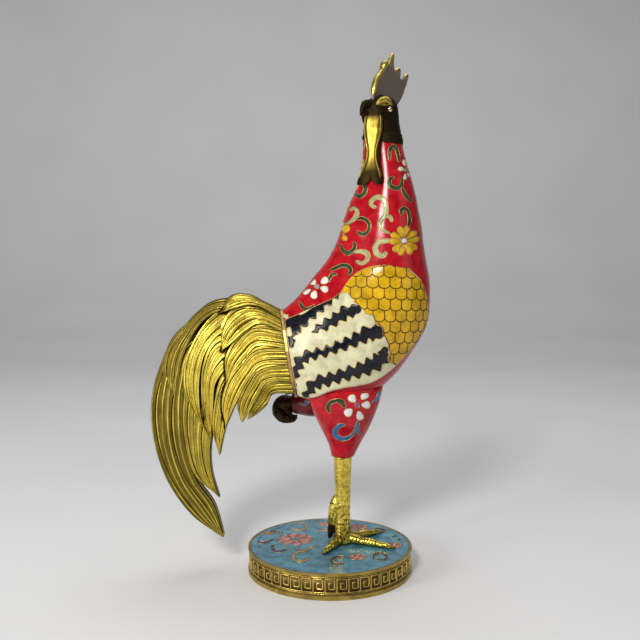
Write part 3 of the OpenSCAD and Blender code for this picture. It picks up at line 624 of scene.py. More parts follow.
class Skin:
    """A surface whose place(u, v, lift) gives points in millimetres."""

    def __init__(self, place, u_range, v_range):
        self.place, self.ranges = place, (u_range, v_range)
        self.span = np.ptp(self.ranges, axis=1)

    def unit(self, at):
        """Millimetres along one unit of u and one unit of v at a place."""
        here = self.place(*at, 0)
        return np.array([np.linalg.norm(self.place(*(at + step), 0) - here) / step.max()
                         for step in np.diag(self.span / 500)])

    def seen(self, pixels):
        """Places (u, v) that the camera sees at pixels of the photograph."""
        pixels = np.asarray(pixels, float)
        u, v = np.meshgrid(*[np.linspace(*ends, SEEN_STEPS) for ends in self.ranges], indexing="ij")
        x, y = to_pixels(self.place(u, v, 0))
        near = [np.argmin((x - p[0]) ** 2 + (y - p[1]) ** 2) for p in pixels]
        uv = np.stack([u.ravel()[near], v.ravel()[near]], 1)
        step = self.span / SEEN_STEPS / 20

        def at(shift):
            return np.stack(to_pixels(self.place(*(uv + shift).T, 0)), -1)

        for _ in range(8):
            here = at(0)
            a, b, miss = at(step * [1, 0]) - here, at(step * [0, 1]) - here, pixels - here
            area = a[:, 0] * b[:, 1] - a[:, 1] * b[:, 0]
            area = np.where(np.abs(area) < 1e-9, 1e-9, area)
            move = np.stack([miss[:, 0] * b[:, 1] - miss[:, 1] * b[:, 0],
                             a[:, 0] * miss[:, 1] - a[:, 1] * miss[:, 0]], 1) / area[:, None]
            uv = uv + np.clip(move, -8, 8) * step
        return uv


def is_inside(points, outline):
    """Tells which points lie inside a closed outline."""
    x, y = points[:, :1], points[:, 1:2]
    ax, ay = outline[:, 0], outline[:, 1]
    bx, by = np.roll(ax, -1), np.roll(ay, -1)
    spans = (ay > y) != (by > y)
    cut = ax + (y - ay) / np.where(by == ay, 1e-12, by - ay) * (bx - ax)
    return (spans & (x < cut)).sum(1) % 2 == 1


def cut_flat(edge, grain, clear):
    """Points and triangles of the area inside an outline, with a grid of points clear of its edge."""
    spans = [np.arange(low, high, grain) for low, high in zip(edge.min(0), edge.max(0))]
    inner = np.stack([a.ravel() for a in np.meshgrid(*spans)], 1)
    inner = inner[is_inside(inner, edge)]
    points = np.concatenate([edge, inner[gap_to(inner, edge) > clear]])
    ring = [(i, (i + 1) % len(edge)) for i in range(len(edge))]
    made = delaunay_2d_cdt([Vector(p) for p in points], ring, [], 0, 1e-4, False)
    flat = np.array([tuple(p) for p in made[0]])
    faces = np.array([tuple(f) for f in made[2]])
    keep = is_inside(flat[faces].mean(1), edge)
    used, faces = np.unique(faces[keep], return_inverse=True)
    return flat[used], [tuple(f) for f in faces.reshape(-1, 3).tolist()]


def slab_faces(tops, count):
    """Faces of a closed slab whose under side repeats its top's points."""
    sides = {(i, j) for f in tops for i, j in zip(f, f[1:] + f[:1])}
    walls = [(j, i, i + count, j + count) for i, j in sides if (j, i) not in sides]
    return tops + [tuple(i + count for i in f[::-1]) for f in tops] + walls


def fill(skin, outline, pile, lift):
    """Thin closed tile of enamel inside an outline on a skin."""
    unit = skin.unit(outline.mean(0))
    flat, tops = cut_flat(outline * unit, GRAIN, GRAIN * EDGE_CLEAR_SHARE)
    u, v = (flat / unit).T
    points = np.concatenate([skin.place(u, v, lift), skin.place(u, v, lift - CELL_DEPTH)])
    pile.add(points, slab_faces(tops, len(flat)))


def wire(skin, path, pile, radius=WIRE_R, closed=True, lift=WIRE_LIFT, sides=6):
    """Round wire laid along a path on a skin."""
    at = skin.place(path[:, 0], path[:, 1], lift)
    out = skin.place(path[:, 0], path[:, 1], lift + 1) - at
    way = np.roll(at, -1, 0) - np.roll(at, 1, 0) if closed else np.gradient(at, axis=0)
    across = direction(np.cross(way, out))
    pile.add(*tube(rings_about(at, radius, across, direction(out), sides), closed))


def stroke(stations, steps, wave=(0.0, 0.0), period=1.0, lag=0.0):
    """Outline round a line of (x, y, half width) with round ends; its two edges may be waved."""
    at = along(stations, np.linspace(0, 1, steps))
    place, half = at[:, :2], at[:, 2]
    way = direction(np.gradient(place, axis=0))
    side = np.stack([-way[:, 1], way[:, 0]], 1)
    run = run_along(place) / period
    ends = clamp(np.minimum(run, run[-1] - run) * 2)

    def edge(depth, late):
        return side * (half + depth * ends * np.sin(2 * math.pi * (run + late)))[:, None]

    def cap(i, sign):
        turn = np.linspace(0, math.pi, 7)[1:-1, None]
        return place[i] + half[i] * sign * (np.cos(turn) * side[i] + np.sin(turn) * way[i])

    left, right = place + edge(wave[0], 0), place - edge(wave[1], lag)
    return np.concatenate([left, cap(-1, 1), right[::-1], cap(0, -1)])


def petal(inner, outer, width, notch=0.0):
    """Petal from an inner to an outer reach, with a dent of a notch's share in its tip."""
    turn = full_turn(PETAL_POINTS)
    dent = notch * (outer - inner) * bell(np.minimum(turn, 2 * math.pi - turn), 0.4)
    return np.stack([(inner + outer) / 2 + (outer - inner) / 2 * np.cos(turn) - dent,
                     width / 2 * np.sin(turn) * (1 + 0.32 * np.cos(turn))], 1)


def disc(radius):
    turn = full_turn(DISC_POINTS)
    return radius * np.stack([np.cos(turn), np.sin(turn)], 1)


def drawn_in(places, low, high, room):
    """Places whose angles past low and high draw together, so that a form doesn't run round an edge."""
    kept = np.clip(places[:, 1], low, high)
    return np.stack([places[:, 0], kept + room * np.tanh((places[:, 1] - kept) / room)], 1)


class Enamel:
    """Gathers every cell by its colour, and every wire, into a few pieces."""

    def __init__(self):
        self.cells = {}
        self.wires = Pile("cloison_wires", WIRE, "rim_brass")
        self.scale_wires = Pile("scale_wires", SCALE_WIRE, "rim_brass")

    def cell(self, skin, outline, colour, lift=CELL_LIFT):
        if colour not in self.cells:
            self.cells[colour] = Pile("cells_" + colour.name.replace("_enamel", ""), colour, "red_enamel")
        fill(skin, outline, self.cells[colour], lift)
        wire(skin, outline, self.wires)

    def near(self, skin, at, outline, colour):
        """A cell whose outline is given in millimetres round a place."""
        self.cell(skin, at + outline / skin.unit(at), colour)

    def flower(self, skin, at, size, colour, heart, turn, full=0.72, notch=0.0, count=5):
        """A round flower of equal petals; full is the share of a circle that they take up."""
        width = full * 2 * math.pi * size * PETAL_WIDE_SHARE / count
        shape = petal(size * PETAL_FROM_SHARE, size, width, notch)
        for angle in full_turn(count):
            self.near(skin, at, turned(shape, turn + angle), colour)
        self.near(skin, at, disc(size * HEART_SHARE), heart)

    def flower_seen(self, skins, at, petals, colour, heart, core, room=0):
        """A flower at a pixel: petals at (across, down, half length, half width) from it, on each skin.

        With room, in degrees, what lies past BREAST_TO or BACK_FROM draws together, short of the middle.
        """
        outlines = [(disc(core) + at, heart)]
        for x, y, long, wide in petals:
            shape = turned(petal(-long, long, 2 * wide), math.atan2(y, x))
            outlines.append((shape + at + [x, y], colour))
        for outline, shade in outlines:
            places = skins[0].seen(outline)
            if room:
                places = drawn_in(places, BREAST_TO, BACK_FROM, room)
            for skin in skins:
                self.cell(skin, places, shade)

    def curl(self, skin, at, size, colour, turn, hand=1):
        """A C-shaped scroll round a place."""
        t = np.linspace(0, 1, 9)
        angle, reach = CURL_TURN * t, size * (1 - CURL_TIP_SHARE * t)
        width = size * (CURL_END_W + CURL_MID_W * np.sin(math.pi * t))
        line = np.stack([reach * np.cos(angle), hand * reach * np.sin(angle)], 1)
        self.near(skin, at, stroke(np.column_stack([turned(line, turn), width]), 34), colour)

    def make(self):
        for pile in [*self.cells.values(), self.wires, self.scale_wires]:
            pile.make()


def body_skin(side):
    return Skin(lambda s, phi, lift: body_point(s, phi, side, lift), (0, 1), (0, 180))


def wing_skin(side):
    return Skin(lambda s, phi, lift: wing_point(s, phi, side, lift), (WING_FROM, WING_TO), (15, 145))


# Outlines on the wing in the photograph's pixels

SHOULDER_TIP = (340.8, 292.5)
SHOULDER_FOOT = (395.8, 364.6)
SHOULDER_STEPS = [(348, 293.6), (352.4, 297.9), (353.5, 301.7), (358, 304.5), (363.2, 308.2),
                  (365.4, 313.6), (374, 315.8), (375.4, 323.4), (382.7, 326.6), (382.7, 334.2),
                  (388.6, 340), (388.2, 347.2), (391, 352), (387.6, 357), (388, 361.3)]
# Black bars, each a line of (x, y, half width) and how far its two edges are waved
STRIPES = [
    ([(291.5, 345.5, 2.6), (289.5, 338, 6), (290, 329.5, 9.4), (297, 322.5, 8), (303, 320, 5.8),
      (309, 316, 4.8), (317, 309.5, 4.4), (325, 303, 4.3), (333, 297, 3.6), (340, 292.3, 1.4)],
     (2.2, 0.0)),
    ([(313, 332, 1.2), (320, 327.8, 3.4), (328, 323.5, 4.8), (337, 318.3, 5.4), (346, 312.5, 6),
      (356.5, 309.3, 5)],
     (2.2, 2.2)),
    ([(378.5, 332.5, 6.6), (370, 333, 7.2), (362, 336.3, 6.4), (353, 340.8, 5.4), (344, 344.5, 4.9),
      (335, 347.8, 4.4), (326, 351.3, 4.2), (317, 353.5, 4.3), (309, 355.5, 4.6), (302, 359.5, 5),
      (297.5, 366, 4.8), (294.5, 374, 3.9), (292.8, 382, 2.9), (292.3, 389, 1.6)],
     (2.3, 2.3)),
    ([(384.8, 350, 3.6), (382.5, 357.5, 7), (375, 363.3, 7.2), (366, 367.6, 6.7), (357, 370.8, 6),
      (348, 373.5, 5.6), (339, 376.2, 5.3), (330, 379, 5.3), (321, 381.3, 5.4), (314, 384.6, 5.2),
      (309.5, 390, 4.5), (306.8, 396, 3.5), (305.6, 400, 2)],
     (2.4, 2.4))]
STRIPE_PERIOD, STRIPE_LAG = 10.3, 0.62
SCALE_W, SCALE_H, SCALE_DROP = 5.75, 5.6, 1.5
SCALE_ROWS, SCALE_COLUMNS = 12, 8
SCALE_TOP_Z, SCALE_ZERO_X = 172.4, 21.4
SCALE_WIRE_R, SCALE_WIRE_LIFT = 0.24, 0.1
JOINT_DROP = [(289, 329.4, 2.3), (289.6, 334.4, 2.3)]
JOINT_PATCH = [(280.5, 314.2, 1.6), (286.5, 316.6, 2.2)]
DROP_LIFT = 0.12


def inside_wing(uv):
    """Keeps places within the wing's edges."""
    t, v = wing_place(*uv.T, 0.006, 0.996)
    return on_wing(t, np.clip(v, 0.03, 0.995))


def spaced(points, spacing):
    """Points at about equal spacing along a line."""
    points = np.asarray(points, float)
    run = run_along(points)
    to = np.linspace(0, run[-1], max(3, int(run[-1] / spacing)))
    return np.stack([np.interp(to, run, points[:, k]) for k in range(points.shape[1])], 1)


def paint_wings(enamel):
    """The yellow shoulder and its scales, the black bars and the cream drop at the joint."""
    seen = wing_skin(RIGHT)
    tip_t, foot_t = wing_place(*seen.seen([SHOULDER_TIP, SHOULDER_FOOT]).T)[0]
    shoulder = np.concatenate([
        inside_wing(seen.seen(spaced([SHOULDER_TIP, *SHOULDER_STEPS, SHOULDER_FOOT], 1.2))),
        on_wing(np.linspace(foot_t, 0.012, 60), 0.035), on_wing(0.008, np.linspace(0.08, 0.96, 40)),
        on_wing(np.linspace(0.014, tip_t, 40), 0.995)])
    apart = np.linalg.norm((shoulder - np.roll(shoulder, 1, 0)) * [200, 0.5], axis=1) > 0.05
    shoulder = shoulder[apart]
    bars = [inside_wing(seen.seen(stroke(line, 150, wave, STRIPE_PERIOD, STRIPE_LAG)))
            for line, wave in STRIPES]
    drop = inside_wing(seen.seen(stroke(JOINT_DROP, 12)))
    scale_wires = scale_lines(shoulder)
    for side in SIDES.values():
        skin = wing_skin(side)
        enamel.cell(skin, shoulder, YELLOW)
        for outline in bars:
            enamel.cell(skin, outline, BLACK)
        enamel.cell(skin, drop, CREAM, DROP_LIFT)
        for line in scale_wires:
            wire(skin, line, enamel.scale_wires, SCALE_WIRE_R, closed=False, lift=SCALE_WIRE_LIFT)


def round_breast(arc, z):
    """Places (s, phi) at heights z and lengths along the breast's level section, towards its front."""
    phi = np.broadcast_to(np.linspace(0, 150, 76), (len(z), 76))
    s = np.full(phi.shape, 0.6)
    for _ in range(12):
        middle, depth = section(s)[:2]
        reach = middle + depth * np.cos(np.radians(phi))
        s = np.arcsin(np.clip((FAN_Z - z[:, None]) / reach, 0, 0.9999)) / TURN
    at = body_point(s, phi, RIGHT)
    found = []
    for x, run, stations, angles, length in zip(at[..., 0], run_along(at), s, phi, arc):
        zero = np.interp(-SCALE_ZERO_X, -x, run)
        angle = np.interp(zero - length, run, angles)
        found.append((np.interp(angle, angles, stations), angle))
    return np.array(found)


def scale_lines(region):
    """Wires of the scales: a straight side and a round lower end, in rows set off by half."""
    lines = []
    q = np.linspace(0, 1, 16)
    for row in range(SCALE_ROWS):
        foot = SCALE_TOP_Z - SCALE_H * row
        z = foot + np.concatenate([np.linspace(SCALE_H, SCALE_DROP + 0.4, 5),
                                   SCALE_DROP * np.abs(2 * q - 1) ** 3])
        for k in range(-SCALE_COLUMNS, SCALE_COLUMNS):
            left = (k + 0.5 * (row % 2)) * SCALE_W
            line = round_breast(left + SCALE_W * np.concatenate([np.zeros(5), q]), z)
            keep = is_inside(line * [100, 1], region * [100, 1])
            if keep.sum() > 4:
                lines.append(line[keep])
    return lines


# Scrolls of (x, y, half width) and flowers on neck and back, in the photograph's pixels

NECK_SCROLLS = {
    CELADON: [
        [(374.8, 207.3, 1.5), (371, 204.3, 2), (373.2, 199.2, 2.2), (379.7, 197.1, 2.3),
         (384.6, 201.6, 2.4), (386.1, 208.6, 2.4), (385.3, 215, 2.3), (381, 220.7, 2),
         (379.7, 225.8, 1.8), (384.3, 230.9, 1.5), (389, 232.8, 0.9)],
        [(386.5, 215.5, 1.2), (390, 217, 1.8), (391.6, 220.6, 1.4)],
        [(389, 240.6, 2), (384.8, 241.1, 2.2), (378.8, 242.4, 2.4), (375.3, 248.1, 2.6),
         (377.2, 253.9, 2.5), (382.9, 255.8, 2.2), (385.8, 253, 1.6)],
        [(355.5, 252, 1.4), (360.6, 251.3, 2), (366.4, 253.2, 2.4), (368.3, 257.1, 2.3),
         (365.7, 261.5, 2), (361.3, 263.4, 1.8), (357.2, 261.5, 1.3)],
        [(350.6, 210.8, 1), (353.6, 208, 1.6), (356.8, 210.5, 2), (356.8, 215, 2.2), (353.6, 219.4, 2),
         (348.4, 223, 1.5), (344.4, 224.5, 0.9)]],
    GREEN: [
        [(358.3, 219, 1.3), (361.9, 218.2, 1.7), (367, 220.7, 1.8), (369.5, 225.8, 1.7),
         (367.4, 232, 1.7), (362.5, 234.5, 2), (358.4, 232.2, 1.5)],
        [(340.8, 245, 1), (343, 250.6, 1.8), (348.5, 253.2, 2.2), (353.4, 250, 2), (355.3, 245.6, 1.6),
         (353.8, 243.2, 1.2)],
        [(331, 270, 1.2), (336, 267.8, 1.8), (343, 265.4, 2), (349, 267, 2), (350.8, 271.1, 1.8),
         (348.6, 274.2, 1.3)],
        [(401.6, 213.6, 1.5), (401, 210.5, 1.9), (404, 208.6, 1.9), (407.6, 210.5, 1.6), (409, 215, 1.5),
         (409.6, 220.7, 1.8), (408.4, 225.4, 1.4)],
        [(392.8, 177.4, 1.3), (389.7, 179.8, 1.9), (389.7, 185, 2.1), (394.4, 188, 2.1), (399, 187.6, 2),
         (401.6, 184, 1.7), (402.2, 179, 1.1)],
        [(402, 188.5, 1.2), (404.2, 193, 1.9), (407.4, 197.6, 1.9), (411, 200.6, 1.3)],
        [(389.6, 159, 1.2), (389.5, 152.3, 1.7), (391, 147.6, 1.8), (393.8, 146.2, 1.8),
         (396.6, 149.2, 1.7), (398.2, 155.3, 1.6), (398.8, 161, 1.1)],
        [(353.6, 193.2, 1.3), (359.2, 196.3, 2.1), (364, 193.5, 2.2), (365.8, 188, 1.9),
         (363.6, 185.2, 1.3)],
        [(299.8, 302.5, 1.2), (302, 306.6, 1.7), (306.4, 309.6, 1.8), (311.2, 308, 1.6),
         (313.4, 305.4, 0.9)],
        [(329.4, 281, 0.8), (330, 277.4, 1.5), (332.6, 274.4, 1.6), (336.4, 274.6, 0.9)]]}
YELLOW_FLOWER = (404.3, 240.8)
YELLOW_TURNS = np.radians([72 * k - 95 + half for k in range(5) for half in (-15, 15)])
YELLOW_PETALS = [(9.2 * math.cos(a), 9.2 * math.sin(a), 5.9, 3.1) for a in YELLOW_TURNS]
EDGE_FLOWER = (343.4, 234.4)
EDGE_PETALS = [(2.4, -5.4, 4.6, 3.6), (1.2, 3.4, 3.4, 2.6)]
WHITE_FLOWER = (316.8, 286.4)
WHITE_PETALS = [(-4, -5.2, 4, 3.3), (7.6, -5.6, 4.4, 3.4), (7.4, 2.6, 4.2, 3.2), (-2.6, 8.2, 4.4, 3.4),
                (-10, 4.2, 4.2, 3.2)]
SIDE_FLOWER = (405.6, 170.2)
SIDE_PETALS = [(-1.6, -7.4, 3.4, 1.7), (-4.4, -1.2, 3.2, 2.2), (-0.6, 6.6, 3.2, 1.9),
               (2.6, -3.4, 2.6, 1.3), (3, 4.6, 2.6, 1.2)]
BREAST_TO, BACK_FROM = 36, 146

# Guessed flowers and curls down the middle of back and breast, each with its station on the body

BACK_FLOWERS = [(0.2, 6.4, YELLOW, YELLOW), (0.56, 4.4, WHITE, PURPLE)]
BREAST_FLOWERS = [(0.068, 4.4, WHITE, GREY), (0.34, 6.6, WHITE, PURPLE), (0.58, 7.4, YELLOW, WHITE),
                  (0.83, 6.4, WHITE, GREY)]
BACK_CURLS = [(0.07, GREEN), (0.32, CELADON), (0.44, GREEN), (0.68, CELADON), (0.9, GREEN)]
BREAST_CURLS = [(0.225, CELADON), (0.46, BLUE), (0.705, CELADON), (0.945, GREEN)]
BACK_CURL, BREAST_CURL = 4.2, 4.4


def scrolls_seen(skin, scrolls, steps):
    """Colours and outlines on a skin of scrolls listed by colour."""
    return [(colour, skin.seen(stroke(line, steps))) for colour, lines in scrolls.items() for line in lines]


def paint_body(enamel):
    right, left = both = [body_skin(RIGHT), body_skin(LEFT)]
    scrolls = [*scrolls_seen(right, NECK_SCROLLS, steps=40), (CREAM, right.seen(stroke(JOINT_PATCH, 12)))]
    for skin in both:
        for colour, outline in scrolls:
            enamel.cell(skin, outline, colour)
    enamel.flower_seen(both, YELLOW_FLOWER, YELLOW_PETALS, YELLOW, WHITE, core=2.8)
    enamel.flower_seen(both, WHITE_FLOWER, WHITE_PETALS, WHITE, GREY, core=2.6, room=20)
    enamel.flower_seen(both, SIDE_FLOWER, SIDE_PETALS, WHITE, GREY, core=1.7, room=13)
    enamel.flower_seen(both, EDGE_FLOWER, EDGE_PETALS, YELLOW, YELLOW, core=1.4)
    for s, size, colour, heart in BACK_FLOWERS:
        enamel.flower(right, np.array([s, 180.0]), size, colour, heart, turn=0.3, full=0.86, notch=0.15)
    for s, colour in BACK_CURLS:
        enamel.curl(right, np.array([s, 180.0]), BACK_CURL, colour, turn=1.2)
    for s, size, colour, heart in BREAST_FLOWERS:
        enamel.flower(right, np.array([s, 0.0]), size, colour, heart, turn=0.2, full=0.8, notch=0.1)
    for s, colour in BREAST_CURLS:
        enamel.curl(right, np.array([s, 0.0]), BREAST_CURL, colour, turn=0.6, hand=-1)


# Thighs: sections as shares of the thigh's height and length, and scrolls in the photograph's pixels

SHANK_TOP_Z = BASE_H + SHANK_H
THIGH_L, THIGH_END_R = 46.0, 6.3
# Rows of height, place ahead, place aside, half length and half width
THIGH = [[0, 0, 0, 0.115, 0.115], [0.2, 0.015, -0.03, 0.172, 0.15], [0.5, 0.022, -0.1, 0.262, 0.21],
         [0.8, 0.018, -0.16, 0.342, 0.255], [1.1, 0.015, -0.2, 0.41, 0.27],
         [1.3, 0.022, -0.21, 0.432, 0.26], [1.48, 0.05, -0.2, 0.43, 0.22], [1.62, 0.08, -0.18, 0.42, 0.15]]
THIGH_TURN = math.radians(10)
THIGH_ROWS, THIGH_SIDES = 80, 96
THIGH_SCROLLS = {
    GREEN: [
        [(329.4, 411.6, 1.5), (327.9, 407.1, 2), (330.7, 402.6, 2.1), (336.5, 400.6, 1.9),
         (341.6, 401.9, 2.6), (344.2, 406, 1.8)]],
    BLUE: [
        [(344.4, 424.7, 1.1), (340.5, 425.2, 1.9), (335.6, 429.2, 2.4), (335.4, 434.6, 2.6),
         (340.5, 438.4, 2.4), (346.6, 438.4, 2), (352.2, 434.6, 1.5), (354, 430.8, 0.9)],
        [(358, 422.4, 1.4), (356.8, 428.5, 2.2), (358.8, 434, 1.2)],
        [(375.4, 387.4, 1.5), (378.2, 386.6, 1.9), (379.4, 391.7, 2), (377.6, 398, 1.8), (372.6, 402, 0.9)]]}
THIGH_EDGES = 210, 326, 13
THIGH_FLOWER = (357.2, 405.3)
THIGH_PETALS = [(-4.8, -6.4, 4.4, 3.9), (7, -9.2, 4.6, 3.7), (8.6, -0.4, 4.4, 3.8), (2.5, 10.3, 4.8, 3.7),
                (-8.6, 6.9, 4.8, 4)]
RAISED_ROOT = np.array([FOOT.x - THIGH_L * 0.15, 0, SHANK_TOP_Z + THIGH_H])
RAISED_L = 37.0
RAISED = [[0.3, 0.33, 0.34, 0.31], [0.1, 0.36, 0.18, 0.31], [-0.1, 0.37, 0.07, 0.29],
          [-0.28, 0.39, 0, 0.25], [-0.43, 0.41, -0.03, 0.2], [-0.565, 0.42, -0.04, 0.155]]
RAISED_END = RAISED_ROOT + np.array(RAISED[-1][:3]) * RAISED_L
RAISED_FLOWER, RAISED_FLOWER_R = np.array([0.42, 160.0]), 5.6
RAISED_CURLS, RAISED_CURL = [((0.7, 160), BLUE), ((0.5, 205), GREEN)], 3.4
TUCK_DEPTH = 0.8


def tucked(points, side):
    """Draws points that would stand proud of the wing into the body."""
    points = points.copy()
    x, y, down = points[..., 0] - FAN_X, points[..., 1] * side, FAN_Z - points[..., 2]
    s = np.arctan2(down, x) / TURN
    middle, depth, wide = section(s)
    forward, aside = (np.hypot(down, x) - middle) / depth, y / wide
    phi = np.degrees(np.arctan2(aside, forward))
    t = wing_place(s, phi)[0]
    low, top = wing_edges(t)
    hide = (t > 0.01) & (t < 0.99) & (phi > low + 2) & (phi < top) & (np.hypot(forward, aside) > 0.97)
    points[hide] = body_point(s[hide], phi[hide], side, -TUCK_DEPTH)
    return points


def thigh_point(h, angle, lift=0.0):
    """Points of the standing thigh at height h from 0 to 1 and an angle round it."""
    h, angle = np.broadcast_arrays(np.asarray(h, float), np.radians(angle))
    rise, ahead, aside, long, wide = np.moveaxis(along(THIGH, h), -1, 0)
    grow = np.maximum(1 - h * 5, 0) * (THIGH_END_R - THIGH[0][3] * THIGH_L) + lift
    c, s = np.cos(THIGH_TURN * h), np.sin(THIGH_TURN * h)
    x, y = (long * THIGH_L + grow) * np.cos(angle), (wide * THIGH_L + grow) * np.sin(angle)
    return np.stack([FOOT.x + ahead * THIGH_L + x * c - y * s, FOOT.y + aside * THIGH_L + x * s + y * c,
                     SHANK_TOP_Z + rise * THIGH_H], -1)


def raised_point(h, angle, lift=0.0):
    """Points of the raised thigh, h of the way from the belly to the hock."""
    h, angle = np.broadcast_arrays(np.asarray(h, float), np.radians(angle))
    at, ahead, before = (along(RAISED, h + step) * RAISED_L for step in (0, 0.01, -0.01))
    way = direction((ahead - before)[..., :3])
    aside = direction(np.cross(way, [0, 0, 1.0]))
    up = np.cross(aside, way)
    ring = np.cos(angle)[..., None] * aside + np.sin(angle)[..., None] * up
    return at[..., :3] + RAISED_ROOT + (at[..., 3:] + lift) * ring


def make_thighs(enamel):
    h, angle = np.linspace(0, 1, THIGH_ROWS)[:, None], np.degrees(full_turn(THIGH_SIDES))
    # The raised thigh gets red darkened with painted shade
    for word, place, side, colour in (("standing", thigh_point, RIGHT, RED),
                                      ("raised", raised_point, LEFT, SHADED_RED)):
        points, faces = tube(tucked(place(h, angle), side))
        add_mesh("thigh_" + word, points, faces, colour, "red_enamel", [word + "_thigh"])
    outer = Skin(thigh_point, (0.02, 0.72), (180, 360))
    inner = Skin(lambda h, a, lift: thigh_point(h, -a, lift), (0.02, 0.72), (180, 360))
    scrolls = scrolls_seen(outer, THIGH_SCROLLS, steps=36)
    for skin in (outer, inner):
        for colour, outline in scrolls:
            enamel.cell(skin, drawn_in(outline, *THIGH_EDGES), colour)
    enamel.flower_seen([outer, inner], THIGH_FLOWER, THIGH_PETALS, WHITE, PURPLE, core=2.6)
    raised = Skin(raised_point, (0.0, 1.0), (0, 360))
    enamel.flower(raised, RAISED_FLOWER, RAISED_FLOWER_R, WHITE, PURPLE, turn=0.3)
    for at, colour in RAISED_CURLS:
        enamel.curl(raised, np.array(at), RAISED_CURL, colour, turn=0.4)


# Legs: stations (x, y, z, radius), or (x, z, radius) in the middle plane, as shares of their sizes

SHANK_D, FIT = 10.2, 0.15
TENON_R, STUD_R = SHANK_D * 0.265, 2.5
SHANK = [1, 0.94, 0.88, 0.84, 0.82, 0.83, 0.92, 1.08]
TOE_L, TOE_D = 31.0, 6.4
TOE_TURNS, TOE_SHARES = (-119, -22, 34), (0.74, 1, 0.93)
TOE = [[-0.06, 0.42, 0.4], [0.12, 0.5, 0.42], [0.26, 0.44, 0.4], [0.36, 0.36, 0.32], [0.46, 0.37, 0.35],
       [0.58, 0.34, 0.33], [0.68, 0.27, 0.26], [0.78, 0.27, 0.26], [0.88, 0.2, 0.17], [1, 0.05, 0.045]]
BACK_TOE_H = 27.5
BACK_TOE = [[-0.28, 0.06, 0.92, 0.26], [-0.36, 0.12, 0.76, 0.36], [-0.47, 0.2, 0.5, 0.33],
            [-0.57, 0.3, 0.3, 0.22], [-0.68, 0.44, 0.1, 0.14], [-0.72, 0.5, 0.03, 0.05]]
HOCK_D = SHANK_D * 0.88
HOCK = [[0.3, 0, 0.02, 0.44], [0, 0, 0, 0.5], [-0.2, 0, -0.08, 0.48], [-0.33, -0.02, -0.32, 0.46],
        [-0.36, -0.03, -0.6, 0.42]]
CLENCH = [[-0.36, 0, -0.6, 0.34], [-0.12, 0, -0.88, 0.3], [0.24, 0, -0.96, 0.26], [0.56, 0, -0.97, 0.18],
          [0.74, 0, -0.9, 0.07]]
CLENCH_SPREAD = (-0.42, 0, 0.42)
FIST = [[0.06, 0, -0.15, 0.3], [0.1, 0, -0.5, 0.44], [0.14, 0, -0.8, 0.32]]
SHANK_SCALES, SHANK_SCALE_H = 12, 2.6
TOE_RING_L, CLENCH_RING_L, RING_H = 1.75, 1.9, 0.1
TOE_FROM_R, TOE_TOP, CLAW_SHARE = 6, 8, 0.66
CAST_GRAIN, CAST_H, SHANK_SCALE_RISE = 0.9, 0.13, 0.06
SOFTEN, SOFTEN_STEPS, OVERLAP = 0.5, 3, 2
LEG_VOXEL, FOOT_VOXEL, HEAD_VOXEL = 0.34, 0.3, 0.27


def placed(stations, origin, scale):
    """Stations with a radius in their last column, scaled and moved; a missing y is 0."""
    table = np.array(stations, float)
    if table.shape[1] == 3:
        table = np.insert(table, 1, 0, axis=1)
    return table * scale + [*origin, 0]


def limb(stations, steps=44, sides=26, aside=(0.0, 1.0, 0.0)):
    """Closed round limb with round ends through stations (x, y, z, radius)."""
    at = along(stations, np.linspace(0, 1, steps))
    way = direction(np.gradient(at[:, :3], axis=0))
    turn = np.radians([86, 60, 30])[:, None]
    (*_, first), (*_, last) = at[0], at[-1]
    head = np.hstack([at[0, :3] - way[0] * first * np.sin(turn), first * np.cos(turn)])
    tail = np.hstack([at[-1, :3] + way[-1] * last * np.sin(turn), last * np.cos(turn)])[::-1]
    at = np.concatenate([head, at, tail])
    way = np.concatenate([way[:1]] * 3 + [way] + [way[-1:]] * 3)
    across = direction(np.cross(way, aside))
    return tube(rings_about(at[:, :3], at[:, 3, None, None], across, np.cross(across, way), sides))


def merged(name, shells, voxel, material, slot, stands_for, relief):
    """Joins closed shells into one skin of small voxels, softens it and adds relief."""
    pile = Pile(name, material, slot)
    for shell in shells:
        pile.add(*shell)
    mesh = smooth_mesh("join", np.concatenate(pile.points), pile.faces, material)
    finish_mesh(mesh)
    made = put_in_scene("join", mesh)
    join = made.modifiers.new("join", "REMESH")
    join.mode, join.voxel_size = "VOXEL", voxel
    smooth = made.modifiers.new("soften", "SMOOTH")
    smooth.factor, smooth.iterations = SOFTEN, SOFTEN_STEPS
    whole = bpy.data.meshes.new_from_object(made.evaluated_get(bpy.context.evaluated_depsgraph_get()))
    points, normals = np.empty((2, len(whole.vertices) * 3))
    whole.vertices.foreach_get("co", points)
    whole.vertices.foreach_get("normal", normals)
    points, normals = points.reshape(-1, 3), normals.reshape(-1, 3)
    faces = [tuple(f.vertices) for f in whole.polygons]
    for data in (whole, mesh):
        bpy.data.meshes.remove(data)
    height, dark = relief(points)
    add_mesh(name, points + normals * height[:, None], faces, material, slot, stands_for, dark)


def scales(u, v):
    """Height and dark edges of overlapping round scales; u runs across and v down, in scale widths."""
    row = np.floor(v)
    upper = np.mod(u + 0.5 * np.mod(row - 1, 2), 1) - 0.5
    tip = 1 + 0.55 * np.sqrt(clamp(1 - (2 * upper) ** 2))
    down = v - row + 1
    height = np.where(down < tip, down, down - 1) / 1.5
    return height, clamp(1 - np.abs(down - tip) / 0.16)


